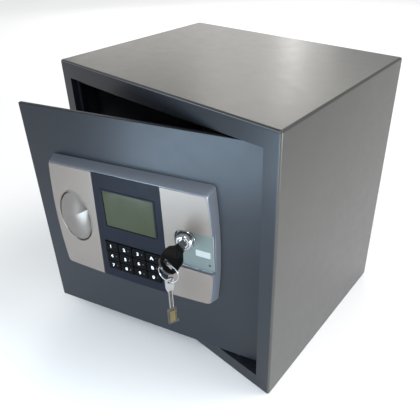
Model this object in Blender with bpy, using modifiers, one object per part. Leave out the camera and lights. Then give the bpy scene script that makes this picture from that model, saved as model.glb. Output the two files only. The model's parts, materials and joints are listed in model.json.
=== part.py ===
"""In-room safe: a folded steel carcase, an inset door that swings on two pivot pins, and a control
panel with a display, a keypad, a finger pull and an emergency key lock.

A small gear motor drives a rack on the bolt carriage, and the key lock's cam moves the same carriage.
The model rests with the door ajar and the bolts drawn back. Every door piece is placed where it is
with the door closed, and the pivot empty then turns them all together.
"""
import math

import bmesh
import bpy
from mathutils import Matrix, Vector

MM = 0.001
GAP = 0.3 * MM

# Carcase
BODY_W = 380 * MM
BODY_D = 296 * MM
BODY_H = 392 * MM
SHEET = 3 * MM
FRONT_Y = -BODY_D / 2
EDGE_ROUND = 2.5 * MM
ANCHOR_X = 100 * MM
ANCHOR_Y = 20 * MM
ANCHOR_R = 6 * MM

# Door opening in the front frame
OPEN_HALF_W = 169.5 * MM
OPEN_LOW = 23 * MM
OPEN_HIGH = 368 * MM
FRAME_PLATE = 4 * MM
JAMB_BACK = FRONT_Y + 40 * MM
LIP_FRONT = FRONT_Y + 9 * MM
LIP_BACK = LIP_FRONT + 3 * MM
LIP_END = 95 * MM

# Door
DOOR_HALF_W = 167.2 * MM
DOOR_LOW = 31 * MM
DOOR_HIGH = 365.2 * MM
DOOR_FACE = FRONT_Y + 3 * MM
PLATE = 5 * MM
PLATE_BACK = DOOR_FACE + PLATE
DOOR_AJAR = math.radians(18.5)
PIVOT = Vector((131.2 * MM, FRONT_Y + 13 * MM, 0))
PIN_R = 3 * MM
PIN_BORE = PIN_R + GAP

# Pan and inner cover behind the door plate
PAN_LOW = Vector((-152 * MM, PLATE_BACK + GAP, 38 * MM))
PAN_HIGH = Vector((150 * MM, FRONT_Y + 36 * MM, 343 * MM))
PAN_SHEET = 2 * MM
COVER_FRONT = PAN_HIGH.y + GAP
COVER_BACK = COVER_FRONT + 2 * MM
SCREW_INSET = 7 * MM

# Bolts and their carriage
BOLT_R = 8 * MM
BOLT_Y = FRONT_Y + 22 * MM
BOLT_HEIGHTS = (120 * MM, 290 * MM)
BOLT_TIP = -156 * MM
BOLT_LENGTH = 50 * MM
BOLT_TRAVEL = 20 * MM
CARRIAGE_Y = (BOLT_Y - 1.5 * MM, BOLT_Y + 1.5 * MM)

# Emergency lock
LOCK_X = 70.5 * MM
LOCK_Z = 225 * MM
BARREL_R = 10 * MM
BARREL_BODY_R = 9.4 * MM
FLANGE_R = 12.5 * MM
FLANGE_DEPTH = 1.6 * MM
PLUG_R = 6.7 * MM
LOCK_BACK = PLATE_BACK + 9 * MM
CAM_REACH = BOLT_TRAVEL / math.sqrt(2)
KEY_TILT = math.radians(-45)

# Rack and pinion
ARM_LOW = LOCK_Z - 25 * MM
ARM_HIGH = LOCK_Z - 2 * MM
TEETH = 16
PINION_PITCH_R = 8 * MM
ADDENDUM = 0.75 * MM
DEDENDUM = 1.1 * MM
TOOTH_PITCH = 2 * math.pi * PINION_PITCH_R / TEETH
TOOTH_HALF = TOOTH_PITCH / 4 - 0.2 * MM
PINION_X = -20 * MM
PINION_Z = ARM_LOW - DEDENDUM - PINION_PITCH_R

# Control panel on the door's face
PANEL_BACK = DOOR_FACE - GAP
PANEL_FACE = DOOR_FACE - 16.3 * MM
PANEL_LEFT = -121.5 * MM
PANEL_RIGHT = 101.5 * MM
PANEL_LOW = 130 * MM
PANEL_HIGH = 295.5 * MM
PANEL_SKIN = 3 * MM
SIDE_BULGE = 5 * MM
FOOT_BULGE = 4.5 * MM
FLARE_X = 3.8 * MM
FLARE_Z = 7 * MM
HOLLOW_LOW = PANEL_LOW + 5 * MM
HOLLOW_HIGH = PANEL_HIGH - 5 * MM
SEAM_LEFT = (-55.3 * MM, -60.3 * MM)
SEAM_RIGHT = (40.9 * MM, 42.5 * MM)

# Things on the panel
PULL_CENTRE = Vector((-92.5 * MM, PANEL_FACE, 216.5 * MM))
PULL_HALF_W = 24.8 * MM
PULL_HALF_H = 39.5 * MM
PULL_DEPTH = 13 * MM
LCD_CENTRE = Vector((-6.7 * MM, 0, 242.6 * MM))
LCD_HALF = Vector((36.5 * MM, 0, 27.3 * MM))
KEYPAD_CENTRE = Vector((-9 * MM, 0, 165.6 * MM))
KEYPAD_HALF = Vector((42.5 * MM, 0, 25.2 * MM))
KEY_PITCH = Vector((20.8 * MM, 0, 16.2 * MM))
KEY_HALF = Vector((10 * MM, 0, 7.7 * MM))
KEY_TOP = PANEL_FACE - 1.2 * MM
KEY_NAMES = (("key_1", "key_2", "key_3", "key_a"),
             ("key_4", "key_5", "key_6", "key_b"),
             ("key_7", "key_8", "key_9", "key_0"))
RECESS_LEFT = 54 * MM
RECESS_LOW = 181 * MM
RECESS_HIGH = 240 * MM
RECESS_FLOOR = PANEL_FACE + 4.4 * MM
BARREL_FRONT = PANEL_FACE - 6 * MM

# Keys and ring
BOW_START = BARREL_FRONT - 7 * MM
BOW_LENGTH = 37 * MM
BOW_HALF_W = 12.5 * MM
BOW_THICK = 3.2 * MM
RING_R = 12.5 * MM
RING_WIRE = 0.9 * MM
EYE_Y = BOW_START - 30.5 * MM

# Battery box
BOX_LOW = Vector((12 * MM, FRONT_Y + 17 * MM, 66 * MM))
BOX_HIGH = Vector((124 * MM, FRONT_Y + 35 * MM, 102 * MM))
BOX_WALL = 1.5 * MM
CELL_R = 7.1 * MM
CELL_LENGTH = 50 * MM
RESET = Vector((-30 * MM, 0, 110 * MM))

LOOKS = {
    "grey_paint": ((0.16, 0.17, 0.18), 0.42, 0.3),
    "door_paint": ((0.07, 0.08, 0.10), 0.45, 0.3),
    "bare_steel": ((0.55, 0.55, 0.56), 0.32, 1.0),
    "zinc": ((0.62, 0.63, 0.62), 0.4, 1.0),
    "silver_plastic": ((0.42, 0.41, 0.41), 0.38, 0.4),
    "navy_plastic": ((0.035, 0.042, 0.075), 0.4, 0.0),
    "key_plastic": ((0.012, 0.012, 0.014), 0.35, 0.0),
    "black_plastic": ((0.02, 0.02, 0.02), 0.5, 0.0),
    "recess_plastic": ((0.16, 0.22, 0.20), 0.5, 0.0),
    "lcd_glass": ((0.20, 0.25, 0.12), 0.15, 0.0),
    "lcd_panel": ((0.16, 0.21, 0.10), 0.4, 0.0),
    "board": ((0.03, 0.16, 0.07), 0.5, 0.0),
    "chrome": ((0.75, 0.75, 0.76), 0.12, 1.0),
    "brass": ((0.65, 0.48, 0.22), 0.3, 1.0),
    "felt": ((0.05, 0.05, 0.055), 0.95, 0.0),
    "cell": ((0.10, 0.10, 0.11), 0.35, 0.2),
    "red_plastic": ((0.5, 0.03, 0.02), 0.4, 0.0),
}
DIRECTIONS = {
    "up": (0, 0, 0),
    "down": (math.pi, 0, 0),
    "out": (math.pi / 2, 0, 0),
    "in": (-math.pi / 2, 0, 0),
    "left": (0, -math.pi / 2, 0),
}
HOMES = {None: Vector((0, 0, 0))}

for old in list(bpy.data.objects):
    bpy.data.objects.remove(old, do_unlink=True)
SAFE = bpy.data.collections.new("in_room_safe")
CUTTERS = bpy.data.collections.new("cutters")
bpy.context.scene.collection.children.link(SAFE)
bpy.context.scene.collection.children.link(CUTTERS)


# ---------------------------------------------------------------- helpers

def look(name):
    """Material of that name, made the first time it is asked for."""
    found = bpy.data.materials.get(name)
    if found:
        return found
    colour, roughness, metallic = LOOKS[name]
    made = bpy.data.materials.new(name)
    made.use_nodes = True
    shader = made.node_tree.nodes["Principled BSDF"]
    shader.inputs["Base Color"].default_value = (*colour, 1)
    shader.inputs["Roughness"].default_value = roughness
    shader.inputs["Metallic"].default_value = metallic
    made.diffuse_color = (*colour, 1)
    return made


def put(name, mesh, material, where, carrier=None):
    """Object in the safe's collection, seated on its carrier empty."""
    obj = bpy.data.objects.new(name, mesh)
    SAFE.objects.link(obj)
    mesh.materials.append(look(material))
    obj.parent = carrier
    obj.location = Vector(where) - HOMES[carrier and carrier.name]
    return obj


def axis_empty(name, where, carrier=None, turn=0.0):
    """Empty on a moving body's joint axis."""
    empty = bpy.data.objects.new(name, None)
    SAFE.objects.link(empty)
    empty.parent = carrier
    empty.location = Vector(where) - HOMES[carrier and carrier.name]
    empty.rotation_euler.z = turn
    HOMES[name] = Vector(where)
    return empty


def mesh_from(name, bm):
    mesh = bpy.data.meshes.new(name)
    bmesh.ops.recalc_face_normals(bm, faces=bm.faces)
    bm.to_mesh(mesh)
    bm.free()
    return mesh


def block(name, low, high, material, carrier=None):
    """Rectangular block between two opposite corners."""
    low, high = Vector(low), Vector(high)
    bm = bmesh.new()
    bmesh.ops.create_cube(bm, size=1.0)
    bmesh.ops.scale(bm, vec=high - low, verts=bm.verts)
    return put(name, mesh_from(name, bm), material, (low + high) / 2, carrier)


def rod(name, centre, radius, length, direction, material, carrier=None, sides=32):
    """Plain cylinder about its centre."""
    bm = bmesh.new()
    bmesh.ops.create_cone(bm, cap_ends=True, segments=sides, radius1=radius, radius2=radius, depth=length)
    obj = put(name, mesh_from(name, bm), material, centre, carrier)
    obj.rotation_euler = DIRECTIONS[direction]
    return smooth(obj)


def turned(name, profile, where, direction, material, carrier=None, ring=False, steps=32):
    """Profile of (radius, height) points, top to bottom, turned about the local Z axis."""
    bm = bmesh.new()
    points = [bm.verts.new((radius, 0, height)) for radius, height in profile]
    for start, end in zip(points, points[1:] + points[:1] if ring else points[1:]):
        bm.edges.new((start, end))
    mesh = bpy.data.meshes.new(name)
    bm.to_mesh(mesh)
    bm.free()
    obj = put(name, mesh, material, where, carrier)
    obj.rotation_euler = DIRECTIONS[direction]
    screw = obj.modifiers.new("turn", "SCREW")
    screw.steps = screw.render_steps = steps
    screw.use_merge_vertices = True
    screw.merge_threshold = 0.00001
    return obj


def sleeve(name, outer, inner, length, where, direction, material, carrier=None):
    """Plain tube that starts at a point and runs along a direction."""
    wall = [(outer, length), (outer, 0), (inner, 0), (inner, length)]
    return turned(name, wall, where, direction, material, carrier, ring=True)


def slab(name, outline, front, back, material, carrier=None, where=(0, 0, 0), grow=None):
    """Outline of (x, z) points, extruded along Y. grow scales the back about a centre."""
    bm = bmesh.new()
    face = bm.faces.new([bm.verts.new((x, front, z)) for x, z in outline])
    sides = bmesh.ops.extrude_face_region(bm, geom=[face])["geom"]
    rear = [item for item in sides if isinstance(item, bmesh.types.BMVert)]
    bmesh.ops.translate(bm, vec=(0, back - front, 0), verts=rear)
    if grow:
        centre, factors = grow
        bmesh.ops.scale(bm, vec=factors, verts=rear, space=Matrix.Translation(-Vector(centre)))
    return put(name, mesh_from(name, bm), material, where, carrier)


def cut(target, cutter, operation="DIFFERENCE"):
    """Boolean with a cutter that is kept, hidden, in its own collection."""
    SAFE.objects.unlink(cutter)
    CUTTERS.objects.link(cutter)
    cutter.hide_render = True
    cutter.display_type = "WIRE"
    modifier = target.modifiers.new(cutter.name, "BOOLEAN")
    modifier.operation = operation
    modifier.object = cutter
    return target


def pocket(target, name, low, high, carrier=None):
    return cut(target, block(name, low, high, "bare_steel", carrier))


def bore(target, name, centre, radius, length, direction, carrier=None):
    return cut(target, rod(name, centre, radius, length, direction, "bare_steel", carrier))


def soften(obj, width, segments=2):
    """Rounded edges."""
    bevel = obj.modifiers.new("soften", "BEVEL")
    bevel.width = width
    bevel.segments = segments
    bevel.limit_method = "ANGLE"
    return obj


def smooth(obj):
    obj.data.shade_smooth()
    obj.data.set_sharp_from_angle(angle=math.radians(35))
    return obj


def arc(start, end, bulge, count):
    """Points on the circular arc from start to end that rises by bulge to the left of the chord."""
    start, end = Vector(start), Vector(end)
    chord = end - start
    side = Vector((-chord.y, chord.x)).normalized()
    radius = (chord.length ** 2 / 4 + bulge ** 2) / (2 * bulge)
    centre = (start + end) / 2 - side * (radius - bulge)
    half = math.asin(chord.length / 2 / radius)
    rise = chord.normalized()
    turns = [half * (2 * step / count - 1) for step in range(count)]
    return [centre + radius * (rise * math.sin(turn) + side * math.cos(turn)) for turn in turns]


# ---------------------------------------------------------------- carcase

def make_carcase():
    half = BODY_W / 2
    wrap = block("carcase_wrap", (-half, FRONT_Y, 0), (half, -FRONT_Y, BODY_H), "grey_paint")
    soften(wrap, EDGE_ROUND)
    reach = BODY_D
    pocket(wrap, "wrap_inside", (SHEET - half, -reach, SHEET), (half - SHEET, reach, BODY_H - SHEET))
    inside = half - SHEET - GAP
    low, high = SHEET + GAP, BODY_H - SHEET - GAP
    back = -FRONT_Y - GAP
    rear = block("rear_panel", (-inside, back - SHEET, low), (inside, back, high), "grey_paint")
    mat_top = low + 3 * MM
    mat = block("floor_mat", (-inside, JAMB_BACK + MM, low), (inside, back - SHEET - MM, mat_top), "felt")
    for side, hole_x in (("left", -ANCHOR_X), ("right", ANCHOR_X)):
        bore(wrap, f"floor_hole_{side}", (hole_x, ANCHOR_Y, 0), ANCHOR_R, 4 * SHEET, "up")
        bore(mat, f"mat_hole_{side}", (hole_x, ANCHOR_Y, low), ANCHOR_R, 4 * SHEET, "up")
        bore(rear, f"wall_hole_{side}", (hole_x, back, BODY_H / 2), ANCHOR_R, 4 * SHEET, "out")
    make_frame(inside, low, high)


def make_frame(inside, low, high):
    """Front frame: face plate, return round the opening, and the lip the door closes against."""
    frame = block("front_frame", (-inside, FRONT_Y, low), (inside, FRONT_Y + FRAME_PLATE, high), "grey_paint")
    wall = SHEET
    outer = OPEN_HALF_W + wall
    tube = block("frame_return", (-outer, FRONT_Y + MM, OPEN_LOW - wall),
                 (outer, JAMB_BACK, OPEN_HIGH + wall), "grey_paint")
    cut(frame, tube, "UNION")
    pocket(frame, "door_opening", (-OPEN_HALF_W, FRONT_Y - MM, OPEN_LOW),
           (OPEN_HALF_W, JAMB_BACK + MM, OPEN_HIGH))
    lips = {
        "lip_left": ((-outer + MM, OPEN_LOW - MM), (-OPEN_HALF_W + 6 * MM, OPEN_HIGH + MM)),
        "lip_low": ((-outer + 2 * MM, OPEN_LOW - MM), (LIP_END, OPEN_LOW + 12 * MM)),
        "lip_high": ((-outer + 2 * MM, OPEN_HIGH - 7 * MM), (LIP_END, OPEN_HIGH + MM)),
    }
    for name, (near, far) in lips.items():
        lip = block(name, (near[0], LIP_FRONT, near[1]), (far[0], LIP_BACK, far[1]), "grey_paint")
        cut(frame, lip, "UNION")
    for index, height in enumerate(BOLT_HEIGHTS):
        bore(frame, f"keeper_hole_{index}", (-OPEN_HALF_W, BOLT_Y, height), BOLT_R + 1.2 * MM, 20 * MM, "left")
    for name, height in (("pin_hole_low", OPEN_LOW), ("pin_hole_high", OPEN_HIGH)):
        bore(frame, name, (PIVOT.x, PIVOT.y, height), PIN_BORE, 12 * MM, "up")


def make_hinge(door):
    """Pivot pins held by the frame, and the collars on the door's pan that turn on them."""
    head, head_depth = 5.5 * MM, 4 * MM
    spots = {
        "lower": ("up", OPEN_LOW - SHEET, PAN_LOW.z),
        "upper": ("down", OPEN_HIGH + SHEET, PAN_HIGH.z),
    }
    for name, (direction, seat, pan_edge) in spots.items():
        sign = 1 if direction == "up" else -1
        start = seat - sign * GAP
        length = abs(pan_edge - start) + 12 * MM
        profile = [(0, length), (PIN_R - MM, length), (PIN_R, length - MM), (PIN_R, 0),
                   (head, 0), (head, -head_depth), (0, -head_depth)]
        turned(f"{name}_hinge_pin", profile, (PIVOT.x, PIVOT.y, start), direction, "zinc")
        collar_start = seat + sign * (SHEET + 0.4 * MM)
        collar_length = abs(pan_edge - collar_start) - GAP
        sleeve(f"{name}_hinge_collar", 4.6 * MM, PIN_BORE, collar_length,
               (PIVOT.x, PIVOT.y, collar_start), direction, "zinc", door)


# ---------------------------------------------------------------- door

def make_door_shell(door):
    plate = block("door_plate", (-DOOR_HALF_W, DOOR_FACE, DOOR_LOW),
                  (DOOR_HALF_W, PLATE_BACK, DOOR_HIGH), "door_paint", door)
    soften(plate, 0.8 * MM)
    bore(plate, "lock_hole", (LOCK_X, DOOR_FACE, LOCK_Z), BARREL_BODY_R + 0.4 * MM, 20 * MM, "out", door)
    pocket(plate, "cable_slot", (-12 * MM, DOOR_FACE - MM, 205 * MM), (12 * MM, PLATE_BACK + MM, 213 * MM), door)
    pan = block("door_pan", PAN_LOW, PAN_HIGH, "door_paint", door)
    wall = Vector((PAN_SHEET, -5 * MM, PAN_SHEET))
    pocket(pan, "pan_inside", PAN_LOW + wall, PAN_HIGH - wall, door)
    cover = block("inner_cover", (PAN_LOW.x, COVER_FRONT, PAN_LOW.z),
                  (PAN_HIGH.x, COVER_BACK, PAN_HIGH.z), "door_paint", door)
    for index, height in enumerate(BOLT_HEIGHTS):
        bore(pan, f"bolt_hole_{index}", (PAN_LOW.x, BOLT_Y, height), BOLT_R + 0.8 * MM, 12 * MM, "left", door)
    for name, height in (("pan_pin_low", PAN_LOW.z), ("pan_pin_high", PAN_HIGH.z)):
        bore(pan, name, (PIVOT.x, PIVOT.y, height), PIN_BORE, 10 * MM, "up", door)
    add_cover_screws(door, pan, cover)
    return cover


def add_cover_screws(door, pan, cover):
    """Corner tabs in the pan, and the four screws that hold the inner cover to them."""
    tab, depth, shank = 11 * MM, 6 * MM, 1.6 * MM
    names = iter("1234")
    for edge_x, sign_x in ((PAN_LOW.x, 1), (PAN_HIGH.x, -1)):
        for edge_z, sign_z in ((PAN_LOW.z, 1), (PAN_HIGH.z, -1)):
            number = next(names)
            xs = sorted((edge_x + sign_x * MM, edge_x + sign_x * tab))
            zs = sorted((edge_z + sign_z * MM, edge_z + sign_z * tab))
            corner = block(f"screw_tab_{number}", (xs[0], PAN_HIGH.y - depth, zs[0]),
                           (xs[1], PAN_HIGH.y - 0.1 * MM, zs[1]), "door_paint", door)
            cut(pan, corner, "UNION")
            spot = Vector((edge_x + sign_x * SCREW_INSET, COVER_BACK + GAP, edge_z + sign_z * SCREW_INSET))
            bore(pan, f"tab_hole_{number}", spot, shank + GAP, 40 * MM, "out", door)
            bore(cover, f"cover_hole_{number}", spot, shank + GAP, 40 * MM, "out", door)
            profile = [(0, 1.8 * MM), (2 * MM, 1.6 * MM), (3.4 * MM, 0.7 * MM), (3.4 * MM, 0),
                       (shank, 0), (shank, -7 * MM), (0, -7 * MM)]
            turned(f"cover_screw_{number}", profile, spot, "in", "zinc", door, steps=20)


def make_bolt_work(door):
    """Two bolts on a sliding carriage, with its guides."""
    slide = axis_empty("bolt_drive", (0, BOLT_Y, LOCK_Z), door)
    strip_left = BOLT_TIP + BOLT_LENGTH + GAP
    strip_right = strip_left + 21 * MM
    arm_right = LOCK_X + 20 * MM
    teeth = rack_outline(-3, 9)
    outline = [(strip_left, 105 * MM), (strip_right, 105 * MM), (strip_right, ARM_LOW), *teeth,
               (arm_right, ARM_LOW), (arm_right, ARM_HIGH), (strip_right, ARM_HIGH),
               (strip_right, 305 * MM), (strip_left, 305 * MM)]
    carriage = slab("bolt_carriage", outline, *CARRIAGE_Y, "zinc", slide)
    front, back = CARRIAGE_Y[0] - MM, CARRIAGE_Y[1] + MM
    pin_x = LOCK_X + CAM_REACH / math.sqrt(2)
    pin_low = LOCK_Z - CAM_REACH - 3.5 * MM
    pin_high = LOCK_Z - CAM_REACH / math.sqrt(2) + 3.5 * MM
    pocket(carriage, "cam_slot", (pin_x - 3.4 * MM, front, pin_low), (pin_x + 3.4 * MM, back, pin_high), slide)
    post_x, post_z = 20 * MM, (ARM_LOW + ARM_HIGH) / 2 + 3 * MM
    pocket(carriage, "post_slot", (post_x - 3.2 * MM, front, post_z - 3 * MM),
           (post_x + BOLT_TRAVEL + 3.2 * MM, back, post_z + 3 * MM), slide)
    post_length = CARRIAGE_Y[1] + GAP - PLATE_BACK - GAP
    post = [(0, post_length + 2 * MM), (4.5 * MM, post_length + 2 * MM), (4.5 * MM, post_length),
            (2.5 * MM, post_length), (2.5 * MM, 0), (0, 0)]
    turned("guide_post", post, (post_x, PLATE_BACK + GAP, post_z), "in", "zinc", door)
    for name, height in zip(("lower", "upper"), BOLT_HEIGHTS):
        chamfer = 1.5 * MM
        bolt = [(0, 0), (BOLT_R - chamfer, 0), (BOLT_R, -chamfer), (BOLT_R, -BOLT_LENGTH), (0, -BOLT_LENGTH)]
        turned(f"{name}_bolt", bolt, (BOLT_TIP, BOLT_Y, height), "left", "bare_steel", slide, steps=40)
        guide_x = PAN_LOW.x + PAN_SHEET + GAP + 9 * MM
        sleeve(f"{name}_bolt_guide", 12 * MM, BOLT_R + 0.4 * MM, 9 * MM,
               (guide_x, BOLT_Y, height), "left", "black_plastic", door)


def rack_outline(first, last):
    """Rack teeth along the carriage arm's lower edge, centred on the pinion at rest."""
    pitch_line = ARM_LOW - DEDENDUM
    slope = math.tan(math.radians(20))
    root = TOOTH_HALF + DEDENDUM * slope
    tip = TOOTH_HALF - ADDENDUM * slope
    points = []
    for number in range(first, last + 1):
        middle = PINION_X + number * TOOTH_PITCH
        points += [(middle - root, ARM_LOW), (middle - tip, pitch_line - ADDENDUM),
                   (middle + tip, pitch_line - ADDENDUM), (middle + root, ARM_LOW)]
    return points


def make_drive(door):
    """Gear motor and its pinion, which has a tooth gap facing the rack."""
    spin = axis_empty("pinion_axis", (PINION_X, BOLT_Y, PINION_Z), door)
    slope = math.tan(math.radians(20))
    root_r, tip_r = PINION_PITCH_R - DEDENDUM, PINION_PITCH_R + ADDENDUM
    root_half = (TOOTH_HALF + DEDENDUM * slope) / PINION_PITCH_R
    tip_half = (TOOTH_HALF - ADDENDUM * slope) / PINION_PITCH_R
    outline = []
    for tooth in range(TEETH):
        middle = math.pi / 2 + 2 * math.pi * (tooth + 0.5) / TEETH
        for radius, offset in ((root_r, -root_half), (tip_r, -tip_half), (tip_r, tip_half), (root_r, root_half)):
            angle = middle + offset
            outline.append((radius * math.cos(angle), radius * math.sin(angle)))
    slab("motor_pinion", outline, -2.5 * MM, 2.5 * MM, "brass", spin, (PINION_X, BOLT_Y, PINION_Z))
    half_w, back = 14 * MM, BOLT_Y - 3 * MM
    motor = block("gear_motor", (PINION_X - half_w, PLATE_BACK + GAP, PINION_Z - 18 * MM),
                  (PINION_X + half_w, back, PINION_Z + 18 * MM), "zinc", door)
    can_y = (PLATE_BACK + GAP + back) / 2
    can = rod("motor_can", (PINION_X, can_y, PINION_Z - 30 * MM), 5 * MM, 34 * MM, "up", "zinc", door)
    cut(motor, can, "UNION")


def make_battery_box(door, cover):
    """Tray, four cells and a lid, reached from inside the safe."""
    tray = block("battery_tray", BOX_LOW, BOX_HIGH, "black_plastic", door)
    wall = Vector((BOX_WALL, BOX_WALL, BOX_WALL))
    mouth = Vector((-BOX_WALL, 5 * MM, -BOX_WALL))
    pocket(tray, "cell_space", BOX_LOW + wall, BOX_HIGH + mouth, door)
    cell_y = BOX_LOW.y + BOX_WALL + CELL_R + 0.4 * MM
    middle = (BOX_LOW + BOX_HIGH) / 2
    number = 1
    for cell_z in (middle.z - CELL_R - 0.8 * MM, middle.z + CELL_R + 0.8 * MM):
        for end_x in (middle.x - CELL_LENGTH - 1.5 * MM, middle.x + 1.5 * MM):
            profile = [(0, MM), (2.7 * MM, MM), (2.7 * MM, 0), (CELL_R, 0),
                       (CELL_R, MM - CELL_LENGTH), (0, MM - CELL_LENGTH)]
            turned(f"battery_{number}", profile, (end_x + MM, cell_y, cell_z), "left", "cell", door, steps=24)
            number += 1
    rim = Vector((MM, 0, MM))
    clear = Vector((MM + GAP, 0, MM + GAP))
    window_low = Vector((BOX_LOW.x, COVER_FRONT - MM, BOX_LOW.z)) - clear
    window_high = Vector((BOX_HIGH.x, COVER_BACK + MM, BOX_HIGH.z)) + clear
    pocket(cover, "battery_window", window_low, window_high, door)
    block("battery_cover", Vector((BOX_LOW.x, COVER_FRONT, BOX_LOW.z)) - rim,
          Vector((BOX_HIGH.x, COVER_BACK, BOX_HIGH.z)) + rim, "black_plastic", door)


def make_reset(door, cover):
    """Circuit board and the sprung reset button above it."""
    board_front, board_back = FRONT_Y + 27 * MM, FRONT_Y + 28.6 * MM
    block("circuit_board", (-70 * MM, board_front, 60 * MM), (0, board_back, 170 * MM), "board", door)
    stem_end, top = board_back + 1.2 * MM, COVER_BACK + 2 * MM
    length = top - stem_end
    profile = [(0, length), (2.5 * MM, length), (2.5 * MM, 5 * MM), (4 * MM, 5 * MM), (4 * MM, 2.5 * MM),
               (2.5 * MM, 2.5 * MM), (2.5 * MM, 0), (0, 0)]
    turned("reset_button", profile, (RESET.x, stem_end, RESET.z), "in", "red_plastic", door)
    bore(cover, "reset_hole", (RESET.x, COVER_BACK, RESET.z), 2.5 * MM + GAP, 12 * MM, "out", door)


# ---------------------------------------------------------------- control panel

def panel_outline():
    """Face outline: straight top, sides that bow outwards and a foot that sags a little."""
    corners = [(PANEL_LEFT, PANEL_HIGH), (PANEL_RIGHT, PANEL_HIGH),
               (PANEL_RIGHT, PANEL_LOW), (PANEL_LEFT, PANEL_LOW)]
    top = [Vector(corners[0])]
    right = arc(corners[1], corners[2], SIDE_BULGE, 8)
    foot = arc(corners[2], corners[3], FOOT_BULGE, 8)
    left = arc(corners[3], corners[0], SIDE_BULGE, 8)
    return top + right + foot + left


def panel_block(name, material, door):
    """Whole panel body, wider at the door than at its face."""
    outline = panel_outline()
    centre = Vector(((PANEL_LEFT + PANEL_RIGHT) / 2, 0, (PANEL_LOW + PANEL_HIGH) / 2))
    wide = 1 + 2 * FLARE_X / (PANEL_RIGHT - PANEL_LEFT)
    tall = 1 + 2 * FLARE_Z / (PANEL_HIGH - PANEL_LOW)
    points = [(point.x, point.y) for point in outline]
    return slab(name, points, PANEL_FACE, PANEL_BACK, material, door, grow=(centre, (wide, 1, tall)))


def seam_wedge(name, left, right, door):
    """Upright wedge between two leaning seams, used to part the panel."""
    tall = PANEL_HIGH - PANEL_LOW

    def at(seam, fraction):
        return seam[0] + (seam[1] - seam[0]) * fraction

    above, below = PANEL_HIGH + 20 * MM, PANEL_LOW - 20 * MM
    over, under = -20 * MM / tall, 1 + 20 * MM / tall
    outline = [(at(left, over), above), (at(right, over), above), (at(right, under), below), (at(left, under), below)]
    return slab(name, outline, PANEL_FACE - 10 * MM, PANEL_BACK + 10 * MM, "bare_steel", door)


def make_panel(door):
    far = 200 * MM
    half_gap = GAP / 2
    left_side = tuple(seam - half_gap for seam in SEAM_LEFT)
    right_side = tuple(seam + half_gap for seam in SEAM_RIGHT)
    middle_left = tuple(seam + half_gap for seam in SEAM_LEFT)
    middle_right = tuple(seam - half_gap for seam in SEAM_RIGHT)
    hollow_front, hollow_back = PANEL_FACE + PANEL_SKIN, PANEL_BACK + MM

    left = panel_block("panel_left", "silver_plastic", door)
    cut(left, seam_wedge("left_keep", (-far, -far), left_side, door), "INTERSECT")
    pocket(left, "left_hollow", (PANEL_LEFT + 1.5 * MM, hollow_front, HOLLOW_LOW),
           (SEAM_LEFT[1] - 3 * MM, hollow_back, HOLLOW_HIGH), door)
    mouth = rod("pull_mouth", PULL_CENTRE, 1.0, 20 * MM, "out", "bare_steel", door, sides=40)
    mouth.data.transform(Matrix.Diagonal((PULL_HALF_W + GAP, PULL_HALF_H + GAP, 1, 1)))
    cut(left, mouth)

    centre = panel_block("panel_centre", "navy_plastic", door)
    cut(centre, seam_wedge("centre_keep", middle_left, middle_right, door), "INTERSECT")
    pocket(centre, "centre_hollow", (SEAM_LEFT[0] + 2.5 * MM, hollow_front, HOLLOW_LOW),
           (SEAM_RIGHT[0] - 2 * MM, hollow_back, HOLLOW_HIGH), door)
    through = Vector((0, PANEL_FACE - MM, 0)), Vector((0, hollow_front + MM, 0))
    rim = Vector((GAP, 0, GAP))
    pocket(centre, "lcd_opening", LCD_CENTRE - LCD_HALF - rim + through[0],
           LCD_CENTRE + LCD_HALF + rim + through[1], door)
    pocket(centre, "keypad_opening", KEYPAD_CENTRE - KEYPAD_HALF + through[0],
           KEYPAD_CENTRE + KEYPAD_HALF + through[1], door)

    right = panel_block("panel_right", "silver_plastic", door)
    cut(right, seam_wedge("right_keep", right_side, (far, far), door), "INTERSECT")
    pocket(right, "right_hollow", (SEAM_RIGHT[1] + 3 * MM, hollow_front, HOLLOW_LOW),
           (PANEL_RIGHT - 3 * MM, hollow_back, HOLLOW_HIGH), door)
    floor_back = RECESS_FLOOR + 1.8 * MM
    pocket(right, "recess_space", (RECESS_LEFT, PANEL_FACE - MM, RECESS_LOW),
           (PANEL_RIGHT + 30 * MM, floor_back + GAP, RECESS_HIGH), door)


def make_pull(door):
    """Oval finger pull: a thin bowl behind the hole in the panel's left cap."""
    bm = bmesh.new()
    bmesh.ops.create_uvsphere(bm, u_segments=36, v_segments=12, radius=1.0)
    bmesh.ops.rotate(bm, cent=(0, 0, 0), matrix=Matrix.Rotation(math.pi / 2, 3, "X"), verts=bm.verts)
    bmesh.ops.bisect_plane(bm, geom=bm.verts[:] + bm.edges[:] + bm.faces[:], plane_co=(0, 0, 0),
                           plane_no=(0, -1, 0), clear_outer=True, dist=1e-6)
    wall = 1.2 * MM
    bmesh.ops.scale(bm, vec=(PULL_HALF_W - wall, PULL_DEPTH - wall, PULL_HALF_H - wall), verts=bm.verts)
    mesh = bpy.data.meshes.new("finger_pull")
    bm.to_mesh(mesh)
    bm.free()
    bowl = smooth(put("finger_pull", mesh, "silver_plastic", PULL_CENTRE, door))
    thick = bowl.modifiers.new("wall", "SOLIDIFY")
    thick.thickness = wall
    thick.offset = 1.0


def make_display(door):
    lens_front = PANEL_FACE + 0.6 * MM
    front, back = Vector((0, lens_front, 0)), Vector((0, lens_front + 1.6 * MM, 0))
    block("lcd_window", LCD_CENTRE - LCD_HALF + front, LCD_CENTRE + LCD_HALF + back, "lcd_glass", door)
    behind = PANEL_FACE + PANEL_SKIN + GAP
    margin = Vector((4 * MM, 0, 4 * MM))
    block("lcd_module", LCD_CENTRE - LCD_HALF - margin + Vector((0, behind, 0)),
          LCD_CENTRE + LCD_HALF + margin + Vector((0, behind + 5 * MM, 0)), "lcd_panel", door)


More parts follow.
